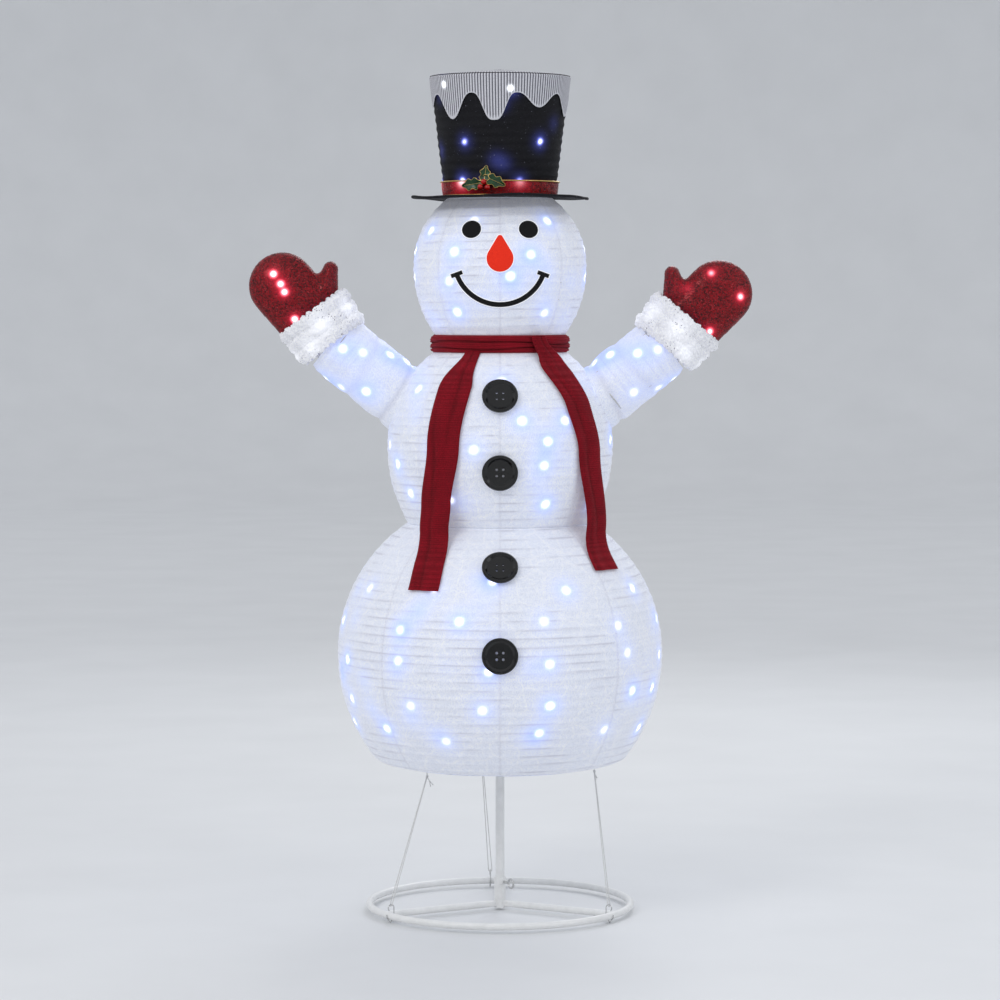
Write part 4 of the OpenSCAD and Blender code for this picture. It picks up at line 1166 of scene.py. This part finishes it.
def make_holly():
    """Three spiky leaves with gold edges and veins, and three berries, pinned on the band."""
    z0 = BRIM + 0.023
    r0 = crown_r(z0) + 0.0045
    turn = math.radians(-15)

    def place(x, y, out):
        a = turn + x / r0
        return around(r0 + out, a, z0 + y)

    leaves, gold = Shape(), Shape()
    for cx, cy, tilt, length, width in ((-0.021, -0.002, 8, 0.042, 0.021), (0.018, 0.004, -25, 0.042, 0.021),
                                        (0.002, 0.014, 80, 0.034, 0.018)):
        c, s = math.cos(math.radians(tilt)), math.sin(math.radians(tilt))
        steps = 33

        def half(t):
            body = math.sin(math.pi * t) ** 0.8
            spikes = 0.72 + 0.42 * abs(math.cos(3 * math.pi * t)) ** 2.2
            return width / 2 * body * spikes

        def on_leaf(t, v):
            x = (t - 0.5) * length
            y = v * half(t)
            out = 0.0016 + 0.0022 * math.sin(math.pi * t) + 0.0016 * abs(v) + 0.0010 * math.sin(9 * t + v)
            return place(cx + x * c - y * s, cy + x * s + y * c, out)

        leaves.grid(steps, 9, lambda i, j: on_leaf(i / (steps - 1), j / 4 - 1))
        rim = [on_leaf(i / (steps - 1), 1) for i in range(steps)]
        rim += [on_leaf(i / (steps - 1), -1) for i in range(steps - 2, 0, -1)]
        gold.tube(rim, 0.0005, 6, closed=True)
        gold.tube([on_leaf(i / 12, 0) + Vector((0, -0.0003, 0)) for i in range(1, 12)], 0.0004, 6)
    leaf = leaves.make("holly_leaf", "holly", "brim", "holly_green")
    apply(leaf, "SOLIDIFY", thickness=0.0007, offset=0.0)
    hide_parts("holly_leaves")
    squash_to(leaf)
    edge = gold.make("holly_edge", "gold", "brim", "holly_green")
    squash_to(edge)
    berries = Shape()
    for x, y in ((-0.005, -0.007), (0.007, -0.008), (0.001, 0.002)):
        berries.ball(place(x, y, 0.0075), 0.005, 20)
    berry = berries.make("holly_berry", "berry", "brim", "berry_red")
    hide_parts("holly_berries")
    squash_to(berry)


# ---------- Scarf ----------

TAIL_W = 0.064


def make_wrap():
    """The scarf's turn round the neck: knit ribs run round it, and it is pressed into soft folds."""
    lo, hi = low("scarf_wrap"), high("scarf_wrap")
    outer = radius("scarf_wrap")
    rows, cols = 44, 300
    ribs = 9
    lines = []

    def point(i, j):
        t = i / rows
        a = 2 * math.pi * j / cols
        wave = 0.0022 * math.sin(2 * a + 1) + 0.0012 * math.sin(5 * a)
        if t < 0.72:
            u = t / 0.72
            z = hi - (hi - lo) * u
            round_off = 1 - (2 * abs(u - 0.5)) ** 5
            fold = math.exp(-(((u - 0.42 - 0.10 * math.sin(a * 2)) / 0.05) ** 2))
            fold = max(fold, math.exp(-(((u - 0.74 - 0.07 * math.sin(a * 3 + 2)) / 0.04) ** 2)))
            rib = math.cos(2 * math.pi * ribs * u)
            # Painted shade in the folds and between the ribs.
            lines.append(min(1, 0.8 * fold + 0.45 * max(0, -rib)))
            r = outer - 0.009 + 0.0075 * round_off - 0.0034 * fold + 0.0007 * rib
            return around(r, a, min(hi, max(lo, z + wave * (1 - 2 * abs(u - 0.5)))))
        u = (t - 0.72) / 0.28
        z = lo + (hi - lo) * u
        groove = ball_r(HEAD, max(z, HEAD[0])) if z > NECK else ball_r(MIDDLE, min(z, MIDDLE[4]))
        # Painted shade over the part that turns in against the body.
        lines.append(0.6)
        return around(min(groove + 0.0008, outer - 0.012), a, z)

    shape = Shape()
    shape.grid(rows, cols, point, wrap=True, wrap_rows=True)
    shape.values["line"] = lines
    wrap = shape.make("scarf_turn", "knit", "neck", "red_knit")
    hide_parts("scarf_wrap")
    squash_to(wrap)


def tail_r(z, least):
    r = max(least, ball_r(MIDDLE, min(z, MIDDLE[4])) if z > MIDDLE[2] else MIDDLE[3])
    if z < LOWER[4]:
        r = max(r, ball_r(LOWER, z))
    return r + 0.0017


def make_tail(name, node, top, least, turns, seed):
    """A hanging end: a doubled strip of ribbed knit with soft folds along it and a closed tip."""
    bottom = low(node) + 0.0006
    rows, cols = 330, 34
    rib_pitch = 0.0036
    run = 0.0
    spine = []
    for i in range(rows):
        t = i / (rows - 1)
        z = top + (bottom - top) * t
        a = math.radians(lookup(t, turns))
        r = sum(tail_r(z + d, least) for d in (-0.02, -0.01, 0, 0.01, 0.02)) / 5
        p = around(r, a, z)
        if spine:
            run += (p - spine[-1][0]).length
        spine.append((p, a, run))
    lines = []

    def point(i, j):
        p, a, run = spine[i]
        outward = around(1, a, 0)
        side = Vector((math.cos(a), math.sin(a), 0))
        front = j < cols // 2
        u = j / (cols // 2 - 1) if front else 1 - (j - cols // 2) / (cols // 2 - 1)
        v = 2 * u - 1
        t = i / (rows - 1)
        fold = 0.5 + 0.5 * math.cos(2 * math.pi * (1.6 * u + 0.35 * math.sin(3 * t + seed)))
        fade = 0.5 + 0.5 * math.sin(9 * t + seed)
        crease = (0.2 + 0.8 * fade) * math.exp(-((v - 0.30 * math.sin(5 * t + seed)) / 0.10) ** 2)
        crease = max(crease, (1 - fade) * math.exp(-((v + 0.45 + 0.25 * math.sin(6 * t + seed)) / 0.09) ** 2))
        rib = math.cos(2 * math.pi * run / rib_pitch)
        narrow = 0.46 + 0.54 * smooth(t / 0.16) + 0.04 * math.sin(5 * t + seed) * smooth(t / 0.2)
        lift = 0.0004
        if front:
            lift += 0.0030 * (1 - abs(v) ** 6) + 0.0018 * fold - 0.0020 * crease + 0.0006 * rib
        # Painted shade in the creases and between the ribs, and over the whole back.
        lines.append(min(1, 0.55 * crease + 0.55 * max(0, -rib)) if front else 0.4)
        return p + outward * lift + side * v * TAIL_W / 2 * narrow * 0.985

    shape = Shape()
    first = shape.grid(rows, cols, point, wrap=True)
    for i in (0, rows - 1):
        ring = [first + i * cols + j for j in range(cols)]
        shape.faces.append(tuple(reversed(ring)) if i == 0 else tuple(ring))
    shape.values["line"] = lines
    tail = shape.make(name, "knit", "neck", "red_knit")
    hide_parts(node)
    squash_to(tail)


def make_scarf():
    make_wrap()
    make_tail("scarf_end_left", "scarf_tail_left", NECK - 0.008, 0,
              ((0, -23), (0.12, -26.5), (0.4, -29), (0.65, -33), (0.75, -34), (1, -30.5)), 0.4)
    make_tail("scarf_end_right", "scarf_tail_right", high("scarf_tail_right") - 0.001,
              radius("scarf_wrap") - 0.001,
              ((0, 32), (0.1, 40), (0.3, 46), (0.5, 50), (0.8, 56), (1, 50.5)), 2.1)


# ---------- Arms, shaped for the right side and mirrored for the left ----------

ARMS = {
    "left": {"rise": 39, "wrist": 15, "sleeve": 0.160,
             "spots": ((0.093, -0.014), (0.071, -0.014), (0.055, -0.017), (0.005, -0.031))},
    "right": {"rise": 38, "wrist": 12, "sleeve": 0.152,
              "spots": ((0.039, 0.040), (0.087, 0.022), (0.088, -0.048), (0.004, -0.046))},
}
SLEEVE_R = 0.060
SLEEVE_BACK = 0.052      # how far the sleeve starts inside the middle cover
CUFF_L = 0.070
CUFF_R = (0.069, 0.074)  # outer radius at the wrist and at the hand
CUFF_IN = 0.007
MITTEN_T = 0.060


def arm_frame(side):
    hinge = Vector(joint("arm_right_swing")["pos_m"])
    return Matrix.Translation(hinge) @ Matrix.Rotation(-math.radians(ARMS[side]["rise"]), 4, "Y")


def forearm_frame(side):
    wrist = Matrix.Translation((ARMS[side]["sleeve"] + 0.002, 0, 0))
    return arm_frame(side) @ wrist @ Matrix.Rotation(-math.radians(ARMS[side]["wrist"]), 4, "Y")


def on_side(side, p):
    """The place of a point shaped on the right side."""
    return Vector((-p.x, p.y, p.z)) if side == "left" else p


def make_sleeve(side):
    """A soft tube with broad folds that tucks in at the cuff and runs into the middle cover."""
    rows, cols = 110, 150
    length = ARMS[side]["sleeve"]
    phase = 0.7 if side == "left" else 2.1
    lines = []

    def point(i, j):
        t = i / (rows - 1)
        s = -SLEEVE_BACK + (length + 0.006 + SLEEVE_BACK) * t
        a = 2 * math.pi * j / cols
        r = SLEEVE_R - 0.0022 + 0.0012 * math.sin(math.pi * t) - 0.004 * smooth((t - 0.94) / 0.06)
        off = (s / WIRE_PITCH) % 1 - 0.5
        crease = math.exp(-((s - 0.022 - 0.010 * math.sin(a + phase)) / 0.006) ** 2)
        crease += 0.6 * math.exp(-((s - 0.095 - 0.012 * math.cos(a - phase)) / 0.008) ** 2)
        fold = crumple((math.cos(a) * 0.06 + phase, math.sin(a) * 0.06, s), 0.045, 0.0034)
        fold += crumple((math.cos(a) * 0.06, math.sin(a) * 0.06 + phase, s * 1.4), 0.016, 0.0008)
        # Painted shade for the line attribute: along the sleeve's wire in patches, and in the creases.
        patch = 0.5 + 0.5 * math.sin(2 * a + 30 * s + phase)
        lines.append(max(0.30 * patch * math.exp(-(off * WIRE_PITCH / 0.0014) ** 2), 0.45 * crease))
        r += min(fold, 0.0016) - 0.0032 * crease
        return s, r * math.sin(a), r * math.cos(a)

    shape = Shape()
    shape.grid(rows, cols, point, wrap=True)
    shape.values["line"] = lines
    shape.move(arm_frame(side), side == "left")
    sleeve = shape.make("sleeve_" + side, "cover", "arm_" + side, "white_fabric")
    lamps = []
    for k in range(15):
        a, s = 2 * math.pi * (k * 0.381), 0.03 + 0.12 * ((k * 7) % 15) / 15
        spot = arm_frame(side) @ Vector((s, SLEEVE_R * math.sin(a), SLEEVE_R * math.cos(a)))
        lamps.append((on_side(side, spot), rng.choice((0.5, 0.8, 1.0))))
    shine(sleeve, lamps, halo=0.030, lit=lambda co: 1)
    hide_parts(f"arm_{side}_sleeve")


def make_cuff(side):
    """A deep frill of lace in three soft rolls over the wrist, ragged at both edges."""
    cols = 360
    out_rows, in_rows = 66, 26
    seed = 3.0 if side == "left" else 8.0

    def point(i, j):
        outside = i < out_rows
        t = i / (out_rows - 1) if outside else 1 - (i - out_rows) / (in_rows - 1)
        a = 2 * math.pi * j / cols
        s = CUFF_L * t
        r = CUFF_R[0] + (CUFF_R[1] - CUFF_R[0]) * t
        at = (math.cos(a) * 0.07 + seed, math.sin(a) * 0.07, s)
        wander = noise.noise(Vector((math.cos(a) * 2 + seed, math.sin(a) * 2, t)))
        if outside:
            roll = abs(math.sin(math.pi * (3 * t + 0.22 * wander))) ** 0.7
            r += 0.0060 * (roll - 0.80) + crumple(at, 0.013, 0.0040) + crumple(at, 0.0048, 0.0026)
        else:
            r -= CUFF_IN
        ragged = crumple((at[0], at[1], seed), 0.010, 0.0052) + crumple((at[0], at[1], seed), 0.004, 0.0028)
        s += ragged * (smooth(t * 5 - 4) + smooth(1 - t * 5))
        return s, r * math.sin(a), r * math.cos(a)

    shape = Shape()
    shape.grid(out_rows + in_rows, cols, point, wrap=True, wrap_rows=True)
    shape.move(forearm_frame(side), side == "left")
    cuff = shape.make("cuff_" + side, "fur", "arm_" + side, "white_fur")
    lamps = []
    for k in range(10):
        a, s = 2 * math.pi * k * 0.381, CUFF_L * (0.15 + 0.7 * ((k * 3) % 10) / 10)
        spot = forearm_frame(side) @ Vector((s, CUFF_R[1] * math.sin(a), CUFF_R[1] * math.cos(a)))
        lamps.append((on_side(side, spot), 0.6))
    shine(cuff, lamps, halo=0.02)
    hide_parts(f"arm_{side}_cuff")


def mitten_half(x, z):
    """Depth inside the mitten's flat outline at (x, z) in the forearm's frame; below 0 outside."""
    def capsule(ax, az, bx, bz, ra, rb):
        dx, dz = bx - ax, bz - az
        t = min(1, max(0, ((x - ax) * dx + (z - az) * dz) / (dx * dx + dz * dz)))
        d = math.hypot(x - ax - t * dx, z - az - t * dz)
        return d - (ra + (rb - ra) * t)
    palm = capsule(CUFF_L + 0.004, -0.009, CUFF_L + 0.067, -0.015, 0.0605, 0.0605)
    thumb = capsule(CUFF_L + 0.016, 0.042, CUFF_L + 0.041, 0.073, 0.025, 0.0138)
    k = 0.010
    h = max(k - abs(palm - thumb), 0) / k
    return min(-(min(palm, thumb) - h * h * k / 4), x - (CUFF_L - 0.022))


def make_mitten(side):
    """A stuffed mitten: two faces that meet in a seam round its outline, with a thumb towards the head."""
    step = 0.0022
    x0, x1, z0, z1 = CUFF_L - 0.0253, CUFF_L + 0.134, -0.080, 0.095
    nx, nz = int((x1 - x0) / step), int((z1 - z0) / step)
    verts, faces, index = [], [], {}
    inside = {(i, j) for i in range(nx + 1) for j in range(nz + 1)
              if mitten_half(x0 + i * step, z0 + j * step) > 0}

    def settle(i, j):
        """Grid point, or for one just outside, the nearest place on the outline."""
        x, z = x0 + i * step, z0 + j * step
        d = mitten_half(x, z)
        if d <= 0:
            e = 0.0004
            gx = (mitten_half(x + e, z) - mitten_half(x - e, z)) / (2 * e)
            gz = (mitten_half(x, z + e) - mitten_half(x, z - e)) / (2 * e)
            g = max(math.hypot(gx, gz), 0.5)
            x -= gx / g * d / g
            z -= gz / g * d / g
            d = 0
        return x, z, d

    def vertex(i, j, face):
        x, z, d = settle(i, j)
        key = (i, j, face if (i, j) in inside else 0)
        if key not in index:
            flat = min(1, d / 0.040)
            y = MITTEN_T / 2 * math.sqrt(max(0, 1 - (1 - flat) ** 2)) * (0.82 + 0.16 * smooth(d / 0.05))
            y += crumple((x * 1.2, z * 1.2, face * 2.0), 0.022, 0.0016) * smooth(d / 0.012)
            index[key] = len(verts)
            verts.append(Vector((x, face * y, z)))
        return index[key]

    for i in range(nx):
        for j in range(nz):
            corners = [(i, j), (i + 1, j), (i + 1, j + 1), (i, j + 1)]
            if any(c in inside for c in corners):
                for face in (-1, 1):
                    ring = [vertex(a, b, face) for a, b in corners]
                    faces.append(tuple(ring if face < 0 else reversed(ring)))
    shape = Shape()
    shape.verts, shape.faces = verts, faces
    shape.move(forearm_frame(side), side == "left")
    mitten = shape.make("mitten_" + side, "red_glitter", "arm_" + side, "red_glitter")
    apply(mitten, "SMOOTH", factor=0.5, iterations=3)
    mitten.data.shade_smooth()
    lamps = []
    for x, z in ARMS[side]["spots"]:
        for face in (-1, 1):
            spot = forearm_frame(side) @ Vector((CUFF_L + x, face * MITTEN_T * 0.46, z))
            lamps.append((on_side(side, spot), 1.0))
    shine(mitten, lamps, halo=0.013, core=0.0052)
    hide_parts(f"arm_{side}_mitten")


def make_arms():
    for side in ARMS:
        make_sleeve(side)
        make_cuff(side)
        make_mitten(side)


# ---------- CAD pieces that keep their shape ----------

KEPT = {
    "white_coat": ("ground_ring", "spoke_left", "spoke_right", "spoke_back", "pole_socket", "lower_pole",
                   "middle_pole", "upper_pole"),
    "wire": ("thumb_screw", "ring_hook_left", "ring_hook_right", "ring_hook_back", "bottom_hoop",
             "waist_hoop", "shoulder_hoop", "neck_hoop", "brim_hoop", "hat_top_hoop", "arm_left_frame",
             "arm_right_frame"),
    "grey_plastic": ("lower_collar", "upper_collar", "pole_cap"),
    "button": ("button_1", "button_2", "button_3", "button_4"),
}


def dress_kept():
    for material, nodes in KEPT.items():
        for name in nodes:
            obj = frame["nodes"][name]
            if obj.material_slots:
                for slot in obj.material_slots:
                    slot.material = MATERIAL[material]
            else:
                obj.data.materials.append(MATERIAL[material])


make_materials()
make_camera()
for tie_side in TIE_ANGLES:
    make_elastic(tie_side)
make_stage()
dress_kept()
make_covers()
make_bottom_panel()
make_insides()
make_face()
make_hat()
make_scarf()
make_arms()
